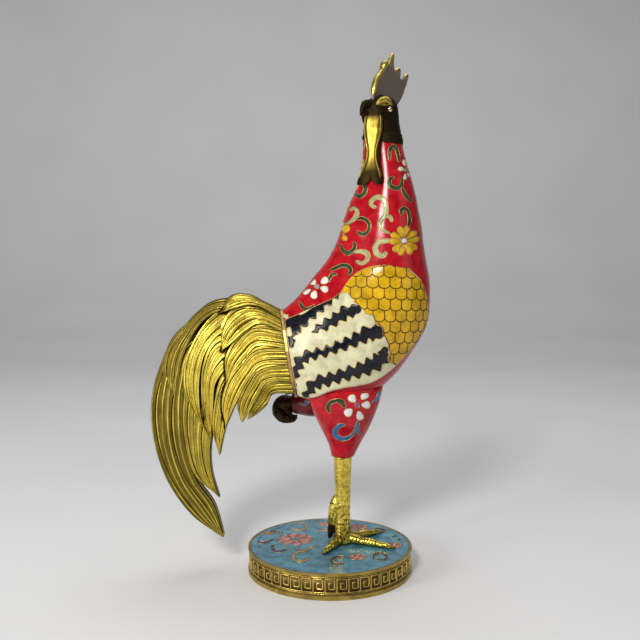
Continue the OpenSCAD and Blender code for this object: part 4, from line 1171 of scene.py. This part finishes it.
def leg_relief(points):
    """Scales on the shank and rings on the toes, with patina in hollows and a dark line across the back toe;
    painted shade low down, on the back toe's lower part and where the feet meet the plate.
    """
    x, y, z = (points - [FOOT.x, FOOT.y, BASE_H]).T
    reach = np.hypot(x, y)
    scale, edge = scales(np.arctan2(y, x) / (2 * math.pi) * SHANK_SCALES, (SHANK_H - z) / SHANK_SCALE_H)
    toe, claw = (reach > TOE_FROM_R) & (z < TOE_TOP), reach > TOE_L * CLAW_SHARE
    ring = np.where(claw, 0, np.cos(reach * 2 * math.pi / TOE_RING_L))
    cast = np.array([noise.noise(Vector(p) * CAST_GRAIN) for p in points]) * (z > 0)
    shank = SHANK_SCALE_RISE * (scale - 0.5) * (z < SHANK_H - 1)
    height = np.where(toe, RING_H * ring, shank + CAST_H * cast)
    rise = z / BACK_TOE_H
    # Painted shade: darker towards the bottom of the leg
    low = np.clip(0.4 - 0.3 * rise, 0, 0.35)
    dark = np.where(toe, clamp(-ring) * 0.5, edge * 0.12 + np.clip(0.1 - 0.9 * cast, 0, 0.4) + low)
    # Painted shade on the back toe's lower part, with a dark line across it higher up
    spur = (x < -SHANK_D * 0.38) & (y > -2) & (z > 0.8)
    dark = np.where(spur, np.where(rise < 0.36, 1, bell(rise - 0.82, 0.02)), dark)
    # Painted shade where the feet meet the plate
    return height, np.where(z < 1.2, np.maximum(dark, 0.75), dark)


def foot_relief(points):
    ring = np.cos((points[:, 0] + points[:, 2]) * 2 * math.pi / CLENCH_RING_L)
    below_hock = points[:, 2] < RAISED_END[2] - 0.4 * HOCK_D
    return RING_H * ring * below_hock, clamp(0.45 - 0.4 * ring)


def make_legs():
    low, high = node_box("standing_leg")
    top = SHANK_TOP_Z - FIT
    heights = np.linspace(top, BASE_H, len(SHANK))
    z, radius = along(np.column_stack([heights, np.array(SHANK) * SHANK_D / 2]), np.linspace(0, 1, 60)).T
    shells = [upright(FOOT.x, FOOT.y, z, radius, radius, 40),
              upright(FOOT.x, FOOT.y, [low.z, BASE_H + OVERLAP], STUD_R, STUD_R, 32),
              upright(FOOT.x, FOOT.y, [top - OVERLAP, high.z], TENON_R, TENON_R, 32)]
    for angle, share in zip(TOE_TURNS, TOE_SHARES):
        points, faces = limb(placed(TOE, (0, 0, 0), (TOE_L * share, 1, TOE_D, TOE_D)))
        flat = turned(points[:, :2], math.radians(angle)) + FOOT.xy
        shells.append((np.column_stack([flat, np.maximum(points[:, 2], 0) + BASE_H]), faces))
    shells.append(limb(placed(BACK_TOE, FOOT, (SHANK_D, SHANK_D, BACK_TOE_H, SHANK_D))))
    merged("leg_standing", shells, LEG_VOXEL, LEG_GILT, "leg_brass", ["standing_leg"], leg_relief)
    middle = RAISED_END - [HOCK_D * 0.5 + FIT, 0, 0]
    tenon = [[*(middle + [reach, 0, 0]), TENON_R] for reach in (0, 4, 8, 12)]
    shells = [limb(placed(HOCK, middle, HOCK_D)), limb(tenon, aside=(0, 0, 1))]
    shells.append(limb(placed(FIST, middle, HOCK_D)))
    for spread in CLENCH_SPREAD:
        shells.append(limb(placed(CLENCH, middle + [0, HOCK_D * spread, 0], HOCK_D)))
    # The raised foot is coloured with painted shade
    merged("leg_raised", shells, FOOT_VOXEL, SHADED_LEG_GILT, "leg_brass", ["raised_leg"], foot_relief)


# Head, in a frame on the neck's top with x towards the beak and y to the bird's left

HEAD_TURN, WATTLE_TURN = math.radians(-130), math.radians(12)
HEAD_H, HEAD_L, HEAD_W, BEAK_L = 21.5, 21.0, 17.4, 7.0
# Rows of height, place ahead, half length and half width
HEAD = [[0, 0, 0.49, 0.59], [0.15, 0, 0.475, 0.565], [0.35, 0.02, 0.47, 0.52], [0.55, 0.03, 0.475, 0.5],
        [0.75, 0.03, 0.45, 0.46], [0.9, 0.02, 0.36, 0.36], [1, 0, 0.18, 0.2]]
BEAK = [[-0.5, 0.72, 0.19], [-0.15, 0.735, 0.165], [0.15, 0.74, 0.135], [0.4, 0.69, 0.105],
        [0.6, 0.6, 0.07], [0.72, 0.46, 0.03]]
JAW = [[-0.5, 0.54, 0.13], [-0.15, 0.525, 0.11], [0.15, 0.51, 0.085], [0.38, 0.5, 0.05]]
BEAK_TURN = math.radians(-10)
BROW = [[0.1, 0.39, 0.74, 0.06], [0.22, 0.4, 0.79, 0.085], [0.34, 0.37, 0.82, 0.095],
        [0.46, 0.29, 0.77, 0.08], [0.5, 0.25, 0.7, 0.05]]
CHEEK = [[0.48, 0.28, 0.72, 0.045], [0.44, 0.34, 0.6, 0.045], [0.36, 0.41, 0.48, 0.04],
         [0.3, 0.44, 0.36, 0.025]]
EYE, EYE_D = np.array([HEAD_L * 0.24, HEAD_W * 0.475, HEAD_H * 0.6]), 3.1
LID_R, LID_T = 2.1, 0.5
SKIRT_FRONT, SKIRT_BACK = 0.3, 4.2
SKIRT_ROWS = [(-0.25, 0.55), (0, 0.7), (0.35, 0.68), (0.7, 0.62), (0.92, 0.5), (1, 0.3), (1, -0.5),
              (0.5, -0.5), (-0.25, -0.5)]
SKIRT_WAVE, SKIRT_WAVES = 0.35, 7.5
CAP_SCALES, CAP_SCALE_H, CAP_SCALE_RISE = 20, 2.5, 0.24
CAP_FROM, CAP_BLEND, CAP_TOP_SHARE = 38, 12, 0.62
BROW_LOW_SHARE, BROW_SIDE_SHARE, BROW_BACK_SHARE = 0.68, 0.2, 0.06
COMB = [[0.274, -0.017], [0.274, 0.238], [0.246, 0.353], [0.191, 0.472], [0.052, 0.629], [0.006, 0.748],
        [-0.046, 0.815], [-0.105, 0.787], [-0.14, 0.765], [-0.195, 0.9], [-0.28, 1], [-0.312, 0.944],
        [-0.302, 0.839], [-0.317, 0.72], [-0.348, 0.706], [-0.43, 0.762], [-0.49, 0.74], [-0.5, 0.66],
        [-0.505, 0.573], [-0.563, 0.58], [-0.643, 0.671], [-0.7, 0.703], [-0.726, 0.664], [-0.692, 0.497],
        [-0.64, 0.392], [-0.569, 0.245], [-0.48, 0.119], [-0.37, 0.017], [-0.246, -0.017]]
COMB_L, COMB_H, COMB_Z = 32.5, 28.6, HEAD_H * 0.79
COMB_TIPS = [[-0.03, 0.83, 3.4, 1], [-0.26, 0.95, 5.2, 0.75], [-0.46, 0.78, 3.6, 1], [-0.715, 0.71, 3.6, 1]]
COMB_STEPS, COMB_FRONT = 8, slice(8, 52)
COMB_GRAIN, COMB_CLEAR, COMB_BAND = 0.55, 0.3, 2.6
COMB_T, COMB_BAND_T, COMB_TIP_T, COMB_LINE_T, COMB_ROUND = 0.72, 0.85, 0.5, 0.035, 0.9
WATTLE_H, WATTLE_W, WATTLE_T = 40.5, 6.6, 1.5
WATTLE_ROWS, WATTLE_COLUMNS = 90, 40
WATTLE_TOP_SHARE, WATTLE_RIDGE, WATTLE_WAIST = 0.67, 0.93, 0.34
# Rows of drop, lean forward, inner edge and outer edge
WATTLE = [[0, -0.045, 0, 0.62], [0.1, -0.03, 0, 0.68], [0.2, -0.015, 0, 0.74], [0.28, -0.005, 0, 0.76],
          [0.42, 0, 0, 0.68], [0.58, 0, 0, 0.6], [0.74, 0, 0, 0.7], [0.88, 0.004, 0, 0.96],
          [0.95, 0.012, 0.12, 1.03], [1, 0.02, 0.5, 1]]


def in_head(points, turn=0.0):
    """Points of the head's frame, turned further about the neck and put in the shared frame."""
    points = np.asarray(points, float)
    flat = turned(points[..., :2], HEAD_TURN + turn) + NECK.xy
    return np.concatenate([flat, points[..., 2:] + NECK.z + FIT / 3], -1)


def head_shells():
    """Skull, beak and jaw, brows, cheeks and eyelids, and the cap's hem."""
    rise, ahead, long, wide = along(HEAD, np.linspace(0, 1, 60)).T
    shells = [upright(HEAD_L * ahead, 0, HEAD_H * rise, HEAD_L * long, HEAD_W * wide, 80)]
    for stations in (BEAK, JAW):
        points, faces = limb(placed(stations, (HEAD_L / 2, 0, 0), (BEAK_L, 1, HEAD_H, HEAD_W)))
        shells.append((np.column_stack([turned(points[:, :2], BEAK_TURN), points[:, 2]]), faces))
    for side in SIDES.values():
        scale = (HEAD_L, side * HEAD_W, HEAD_H, HEAD_W)
        shells += [limb(placed(stations, (0, 0, 0), scale), aside=(0, 0.35, 1)) for stations in (BROW, CHEEK)]
        lid = [[*(EYE * [1, side, 1] + [LID_R * math.cos(a), side * 0.1, LID_R * math.sin(a)]), LID_T]
               for a in np.linspace(0, 2 * math.pi, 13)]
        shells.append(limb(lid, steps=48, sides=12))
    return [(in_head(points), faces) for points, faces in shells] + [cap_skirt()]


def cap_skirt():
    """Lower hem of the feathered cap, which lies on the neck and hangs lower at the nape."""
    phi = np.degrees(full_turn(120))
    nape = 0.5 + 0.5 * np.cos(np.radians(phi + math.degrees(HEAD_TURN) + 180))
    hem = SKIRT_FRONT + (SKIRT_BACK - SKIRT_FRONT) * nape
    hem = hem + SKIRT_WAVE * np.abs(np.sin(np.radians(phi * SKIRT_WAVES)))
    middle, depth, _ = section(0)
    reach = middle + depth * np.cos(np.radians(phi))
    rings = []
    for share, off in SKIRT_ROWS:
        s = np.arcsin(share * hem / reach) / TURN
        ring = body_point(np.maximum(s, 0), phi, LEFT, off)
        ring[:, 2] = np.where(s < 0, FAN_Z - share * hem, ring[:, 2])
        rings.append(ring)
    return tube(np.stack(rings), closed=True)


def head_relief(points):
    """Feather scales on the cap, and dark metal but for the brows."""
    flat, z = turned(points[:, :2] - NECK.xy, -HEAD_TURN), points[:, 2] - NECK.z
    angle = np.arctan2(flat[:, 1], flat[:, 0])
    feather_height, edge = scales(angle / (2 * math.pi) * CAP_SCALES, (HEAD_H - z) / CAP_SCALE_H)
    cap = clamp((np.abs(np.degrees(angle)) - CAP_FROM) / CAP_BLEND) * clamp((HEAD_H * CAP_TOP_SHARE - z) / 2)
    aside = np.abs(flat[:, 1])
    eye = np.linalg.norm(np.stack([flat[:, 0], aside, z], 1) - EYE, axis=1)
    brow = clamp((z - HEAD_H * BROW_LOW_SHARE) / 1.5) * clamp((aside - HEAD_W * BROW_SIDE_SHARE) / 1.2)
    brow = brow * clamp((flat[:, 0] - HEAD_L * BROW_BACK_SHARE) / 1.2)
    dark = np.maximum(0.8 - 0.72 * brow, cap * (0.78 + 0.22 * edge))
    dark = np.where(eye < LID_R + 0.2, 1.0, dark)
    ahead, off = turned(flat, -BEAK_TURN).T
    beak = (ahead > HEAD_L * 0.5) & (np.abs(off) < HEAD_W * 0.19) & (z > HEAD_H * 0.4)
    return CAP_SCALE_RISE * cap * (feather_height - 0.5), np.where(beak, 0.85, dark)


def make_comb():
    """The comb's leaf: thick at its front edge and its tips, thin and streaked between."""
    corners = np.array(COMB) * [COMB_L, COMB_H]
    edge = along([*corners, corners[0]], np.linspace(0, 1, COMB_STEPS * len(corners) + 1))[:-1]
    flat, tops = cut_flat(edge, COMB_GRAIN, COMB_CLEAR)
    far = gap_to(flat, edge)
    band = np.exp(-((gap_to(flat, edge[COMB_FRONT]) / COMB_BAND) ** 4))
    knob = np.max([share * clamp(1.7 - np.linalg.norm(flat - [x * COMB_L, z * COMB_H], axis=1) / size)
                   for x, z, size, share in COMB_TIPS], axis=0)
    x, z = flat.T
    line = COMB_LINE_T * np.sin(x * 5.2 + 0.6 * np.sin(z * 0.8)) * (1 - np.maximum(band, knob))
    half = COMB_T + COMB_BAND_T * band + COMB_TIP_T * knob
    half = half * np.sqrt(1 - (1 - np.minimum(far / COMB_ROUND, 1)) ** 2)
    rim = far < 1e-4
    half = np.where(rim, 0, half + line * (far > 0.5))
    count = len(flat)
    other = np.arange(count) + np.where(rim, 0, count)
    points = np.concatenate([np.column_stack([x, sign * half, z + COMB_Z]) for sign in (1, -1)])
    faces = np.concatenate([tops, other[np.array(tops)[:, ::-1]]])
    used, faces = np.unique(faces, return_inverse=True)
    streak = np.sin(2.9 * x + 0.1 * z) + 0.6 * np.sin(7.1 * x - 0.15 * z)
    bright = clamp(np.maximum.reduce([band * (z < COMB_H * 0.7), knob, 0.2 + 0.05 * streak]))
    dark = 1 - np.tile(bright, 2)[used]
    faces = [tuple(f) for f in faces.reshape(-1, 3).tolist()]
    add_mesh("comb_leaf", in_head(points)[used], faces, COMB_METAL, "comb_brass", ["comb"], dark)


def neck_reach(z, turn):
    """Distance from the axis of the neck's top to the neck's face, at heights z towards an angle."""
    down = np.maximum(-z, 0)
    s = 0 * down
    for _ in range(3):
        middle = section(s)[0]
        s = np.arcsin(down / middle) / TURN
    _, a, b = section(s)
    off = FAN_X + middle * np.cos(s * TURN) - NECK.x
    p = (math.cos(turn) / a) ** 2 + (math.sin(turn) / b) ** 2
    q = -off * math.cos(turn) / a**2
    return (np.sqrt(q**2 - p * ((off / a) ** 2 - 1)) - q) / p


def make_wattle(word, side):
    """A wattle's leaf: hollow along its middle, with a curled rim and a mouth at its foot; painted shade
    makes the mouth dark.
    """
    down, lean, near, wide = (a[:, None] for a in along(WATTLE, np.linspace(0, 1, WATTLE_ROWS)).T)
    q = np.linspace(0, 1, WATTLE_COLUMNS)[None, :]
    z = HEAD_H * WATTLE_TOP_SHARE - WATTLE_H * down + 0 * q
    x = neck_reach(z, HEAD_TURN + WATTLE_TURN) + FIT + WATTLE_H * lean
    ridge = WATTLE_RIDGE - WATTLE_WAIST * bell(down - 0.6, 0.17)
    inner, outer = np.minimum(q / ridge, 1), clamp((q - ridge) / (1.001 - ridge))
    rim = bell(q - ridge, 0.08) * clamp(18 * down - 2) * clamp(9 - 9.4 * down)
    mouth = clamp((down - 0.84) / 0.16)
    curl = 0.05 + 0.95 * inner**3.5 - 1.3 * outer**0.8 - 0.9 * mouth * (1 - inner**4)
    aside = side * (FIT / 3 + WATTLE_W * (near + (wide - near) * q))
    outside = np.stack([x + WATTLE_T * (1 + curl), aside, z], -1)
    under = np.stack([x, aside, z], -1)[:, ::-1]
    points, faces = tube(np.concatenate([outside, under], 1))
    # Painted shade: dark under the beak at the top, darker down the lower half and in the mouth, on the outer
    # flank and just inside the rim; the rim itself is kept bright
    level_shade = np.maximum.reduce([np.clip(1.4 - 5.6 * down, 0, 0.95), np.clip(2.6 * (down - 0.52), 0, 0.8),
                                     clamp(12 * (down - 0.83))])
    side_shade = np.maximum(np.clip(12 * outer - 1, 0, 0.95), 0.85 * bell(q - ridge + 0.18, 0.07))
    shade = np.maximum(level_shade, side_shade) * (1 - 0.92 * rim)
    # The under side is dark all over, as painted shade
    dark = np.concatenate([shade, np.ones_like(shade)], 1).ravel()
    add_mesh("wattle_leaf_" + word, in_head(points, WATTLE_TURN), faces, WATTLE_GILT, "comb_brass",
             ["wattle_" + word], dark)


def make_head():
    merged("head_casting", head_shells(), HEAD_VOXEL, HEAD_GILT, "head_brass", ["head"], head_relief)
    make_comb()
    for word, side in SIDES.items():
        make_wattle(word, side)
    pile = Pile("eye_beads", EYE_GILT, "comb_brass")
    rise = np.radians(np.linspace(-88, 88, 23))
    round_r = EYE_D / 2 * np.cos(rise)
    ball, faces = upright(0, 0, EYE_D / 2 * np.sin(rise), round_r, round_r, 32)
    for side in SIDES.values():
        pile.add(in_head(ball + EYE * [1, side, 1]), faces)
    pile.make(["eyes"])


# Scrolls and flowers on the base plate, in the photograph's pixels but for the flowers' sizes

PLATE_SCROLLS = {
    NAVY: [
        [(273, 539.6, 0.7), (266, 542.4, 1.1), (258.6, 542.2, 1.3), (256.4, 539.6, 1.2),
         (259.6, 537.2, 0.9)],
        [(286.4, 549.2, 0.8), (281, 551.4, 1.2), (273.6, 550.2, 1.2), (271.6, 547.2, 1), (274, 545.4, 0.7)],
        [(282.4, 525.2, 0.7), (276, 523.8, 0.9), (269.6, 526.2, 1), (268.8, 529.4, 1),
         (273.6, 531.2, 0.8), (282, 532.8, 0.7)],
        [(344.4, 557, 0.7), (337, 557, 1.1), (331.2, 560, 1.3), (333.4, 563.8, 1.3), (343, 563.8, 0.9)],
        [(373.4, 559.4, 0.8), (374, 555.4, 1), (380, 553.4, 1.1), (386.6, 556, 1.1), (385.4, 559.6, 1),
         (377, 560.2, 0.7)],
        [(372.6, 530.6, 0.6), (377.6, 528.6, 1), (384.4, 530.4, 0.9), (386, 532.6, 0.6)],
        [(392.6, 536.8, 0.6), (399, 535.6, 0.9), (402.6, 538.2, 0.9), (397.6, 540.2, 0.6)],
        [(305, 519.6, 0.5), (310.6, 520.6, 0.8), (316.6, 519.2, 0.5)]],
    TAN: [
        [(308, 559, 0.8), (302, 561.6, 1.2), (294.8, 560, 1.4), (293.4, 555.8, 1.4), (297.6, 551.8, 1.2),
         (305.4, 550.8, 1), (309.8, 548, 0.8), (316, 547, 0.6)],
        [(290, 524.4, 0.6), (298, 522.8, 0.9), (305.6, 524.4, 1), (306, 528.2, 1), (298, 530.2, 0.8),
         (291, 529.2, 0.6)],
        [(317, 531.4, 0.5), (324, 529.8, 0.9), (331, 531.4, 0.6)]]}
PLATE_EDGE = 40.3
PLATE_FLOWERS = [((294.9, 539.3), 10.2, PINK, BLUE, 8), ((357.6, 557.2), 4.6, PINK, WHITE, 5),
                 ((359, 527.4), 5.2, PINK, BLUE, 5), ((325, 524.2), 3.6, PINK, WHITE, 5),
                 ((394.6, 545.4), 4.4, PINK, WHITE, 5), ((268.2, 533.2), 2.6, PINK, WHITE, 5)]


def flat_place(x, y, lift):
    return np.stack(np.broadcast_arrays(x, y, BASE_H + lift), -1)


def paint_plate(enamel):
    plate = Skin(flat_place, (-42, 42), (-42, 42))
    for colour, outline in scrolls_seen(plate, PLATE_SCROLLS, steps=30):
        reach = np.linalg.norm(outline, axis=1, keepdims=True)
        enamel.cell(plate, outline * np.minimum(1, PLATE_EDGE / reach), colour)
    for at, size, colour, heart, count in PLATE_FLOWERS:
        enamel.flower(plate, plate.seen([at])[0], size, colour, heart, turn=0.2, full=0.88, count=count)


# Fret in relief round the base's sunk band, over a sheet of painted shade

FRET_UNITS, FRET_STEPS, FRET_GRAIN = 46, 220, 0.45
FRET_LOW, FRET_HIGH = 3.7, 10.6
FRET_KEY = [(1, 0), (0, 0), (0, 1), (0.8, 1), (0.8, 0.28), (0.32, 0.28), (0.32, 0.7), (0.56, 0.7)]
FRET_R, FRET_LIFT = 0.36, 0.12
FRET_LINE_R, FRET_LINE_LIFT, LINE_BELOW, LINE_ABOVE = 0.22, 0.1, 0.75, 0.85
BAND_DEPTH, GROUND_LIFT, GROUND_T, GROUND_PAST = 0.9, 0.06, 0.36, 0.5
BAND_R = BASE_R - BAND_DEPTH


def band_place(angle, z, lift):
    reach = BAND_R + lift
    return np.stack(np.broadcast_arrays(reach * np.cos(angle), reach * np.sin(angle), z), -1)


def make_fret():
    band = Skin(band_place, (0, 2 * math.pi), (FRET_LOW, FRET_HIGH))
    turn = full_turn(FRET_STEPS)
    # A dark sheet laid in the sunk band behind the fret, as painted shade
    low, high, under = FRET_LOW - GROUND_PAST, FRET_HIGH + GROUND_PAST, GROUND_LIFT - GROUND_T
    corners = (low, GROUND_LIFT), (high, GROUND_LIFT), (high, under), (low, under)
    shade_sheet = tube(np.stack([band_place(turn, z, lift) for z, lift in corners]), closed=True)
    add_mesh("base_fret_shade", *shade_sheet, FRET_SHADE, "rim_brass")
    pile = Pile("base_fret", FRET_GILT, "rim_brass")
    size = [2 * math.pi * BAND_R / FRET_UNITS, FRET_HIGH - FRET_LOW]
    key = spaced(np.array(FRET_KEY) * size, FRET_GRAIN)
    for k in range(FRET_UNITS):
        path = key / [BAND_R, 1] + [2 * math.pi * k / FRET_UNITS, FRET_LOW]
        wire(band, path, pile, FRET_R, closed=False, lift=FRET_LIFT, sides=8)
    for z in (FRET_LOW - LINE_BELOW, FRET_HIGH + LINE_ABOVE):
        ring = np.stack([turn, np.full(FRET_STEPS, z)], 1)
        wire(band, ring, pile, FRET_LINE_R, lift=FRET_LINE_LIFT, sides=8)
    pile.make()


# Studio, in metres

SWEEP = [(-3.0, 0.0), (0.9, 0.0), (1.15, 0.02), (1.35, 0.1), (1.47, 0.26), (1.5, 0.5), (1.5, 3.0)]
SWEEP_HALF_W = 3.5
LIGHTS_AIM = Vector((0, 0, 0.14))


def make_floor():
    """Pale paper sweep that curves up behind the bird."""
    made, tree, bsdf = new_material("studio_paper")
    feed(tree, bsdf, {"Base Color": patch_node(tree, PAPER_TONE, (0.3, 0.8), (0.7, 0.84)), "Roughness": 0.75})
    points = [(x, y, z) for x in (-SWEEP_HALF_W, SWEEP_HALF_W) for y, z in SWEEP]
    mesh = smooth_mesh("studio_sweep", points, grid_faces(2, len(SWEEP), ring=False), made)
    floor = put_in_scene("studio_sweep", mesh)


def soft_light(name, at, size, power, colour=(1, 1, 1)):
    """Square soft box in metres and watts, aimed at the middle of the bird."""
    lamp = bpy.data.lights.new(name, "AREA")
    lamp.shape, lamp.size = "SQUARE", size
    lamp.energy, lamp.color = power, colour
    made = put_in_scene(name, lamp)
    made.location = at
    aim = LIGHTS_AIM - Vector(at)
    made.rotation_euler = aim.to_track_quat("-Z", "Y").to_euler()


def make_studio():
    make_floor()
    soft_light("key_light", (-0.35, -1.0, 0.8), 0.24, 8.5, (1.0, 0.98, 0.95))
    soft_light("side_light", (-1.05, -0.75, 0.4), 0.5, 7.5)
    soft_light("fill_light", (0.95, -0.7, 0.5), 0.7, 1.2)
    soft_light("top_light", (0.1, 0.3, 1.3), 0.9, 5.5)
    world = bpy.data.worlds.new("studio_world")
    world.use_nodes = True
    feed(world.node_tree, world.node_tree.nodes["Background"], {"Color": (0.78, 0.8, 0.86), "Strength": 0.14})
    bpy.context.scene.world = world
    bpy.context.scene.view_settings.view_transform = "Standard"


def make_camera():
    lens = bpy.data.cameras.new("photo_camera")
    lens.angle, lens.clip_start = CAMERA_FOV, 0.01
    made = put_in_scene("photo_camera", lens)
    made.location = CAMERA_AT * MM
    made.rotation_euler = (math.pi / 2 - CAMERA_TILT, 0, 0)
    bpy.context.scene.camera = made


CAD_FINISH = {
    "base_rim": RIM_GILT, "base_plate": SKY, "base_washer": STEEL, "base_nut": STEEL, "tail_collar": WIRE,
    "tail_plug": PLAIN_BRASS, "standing_leg": LEG_GILT, "raised_leg": LEG_GILT, "standing_thigh": RED,
    "raised_thigh": RED, "head": HEAD_GILT, "comb": COMB_METAL, "wattle_right": WATTLE_GILT,
    "wattle_left": WATTLE_GILT, "eyes": EYE_GILT}


def dress_frame():
    for name, material in CAD_FINISH.items():
        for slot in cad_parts[name].material_slots:
            slot.material = material


make_camera()
make_studio()
dress_frame()
make_body()
enamel_work = Enamel()
for paint in (paint_wings, paint_body, make_thighs, paint_plate):
    paint(enamel_work)
enamel_work.make()
make_fret()
make_legs()
make_head()
for make_pair in (make_wing, make_tail):
    for word, side in SIDES.items():
        make_pair(word, side)

bpy.context.view_layer.update()
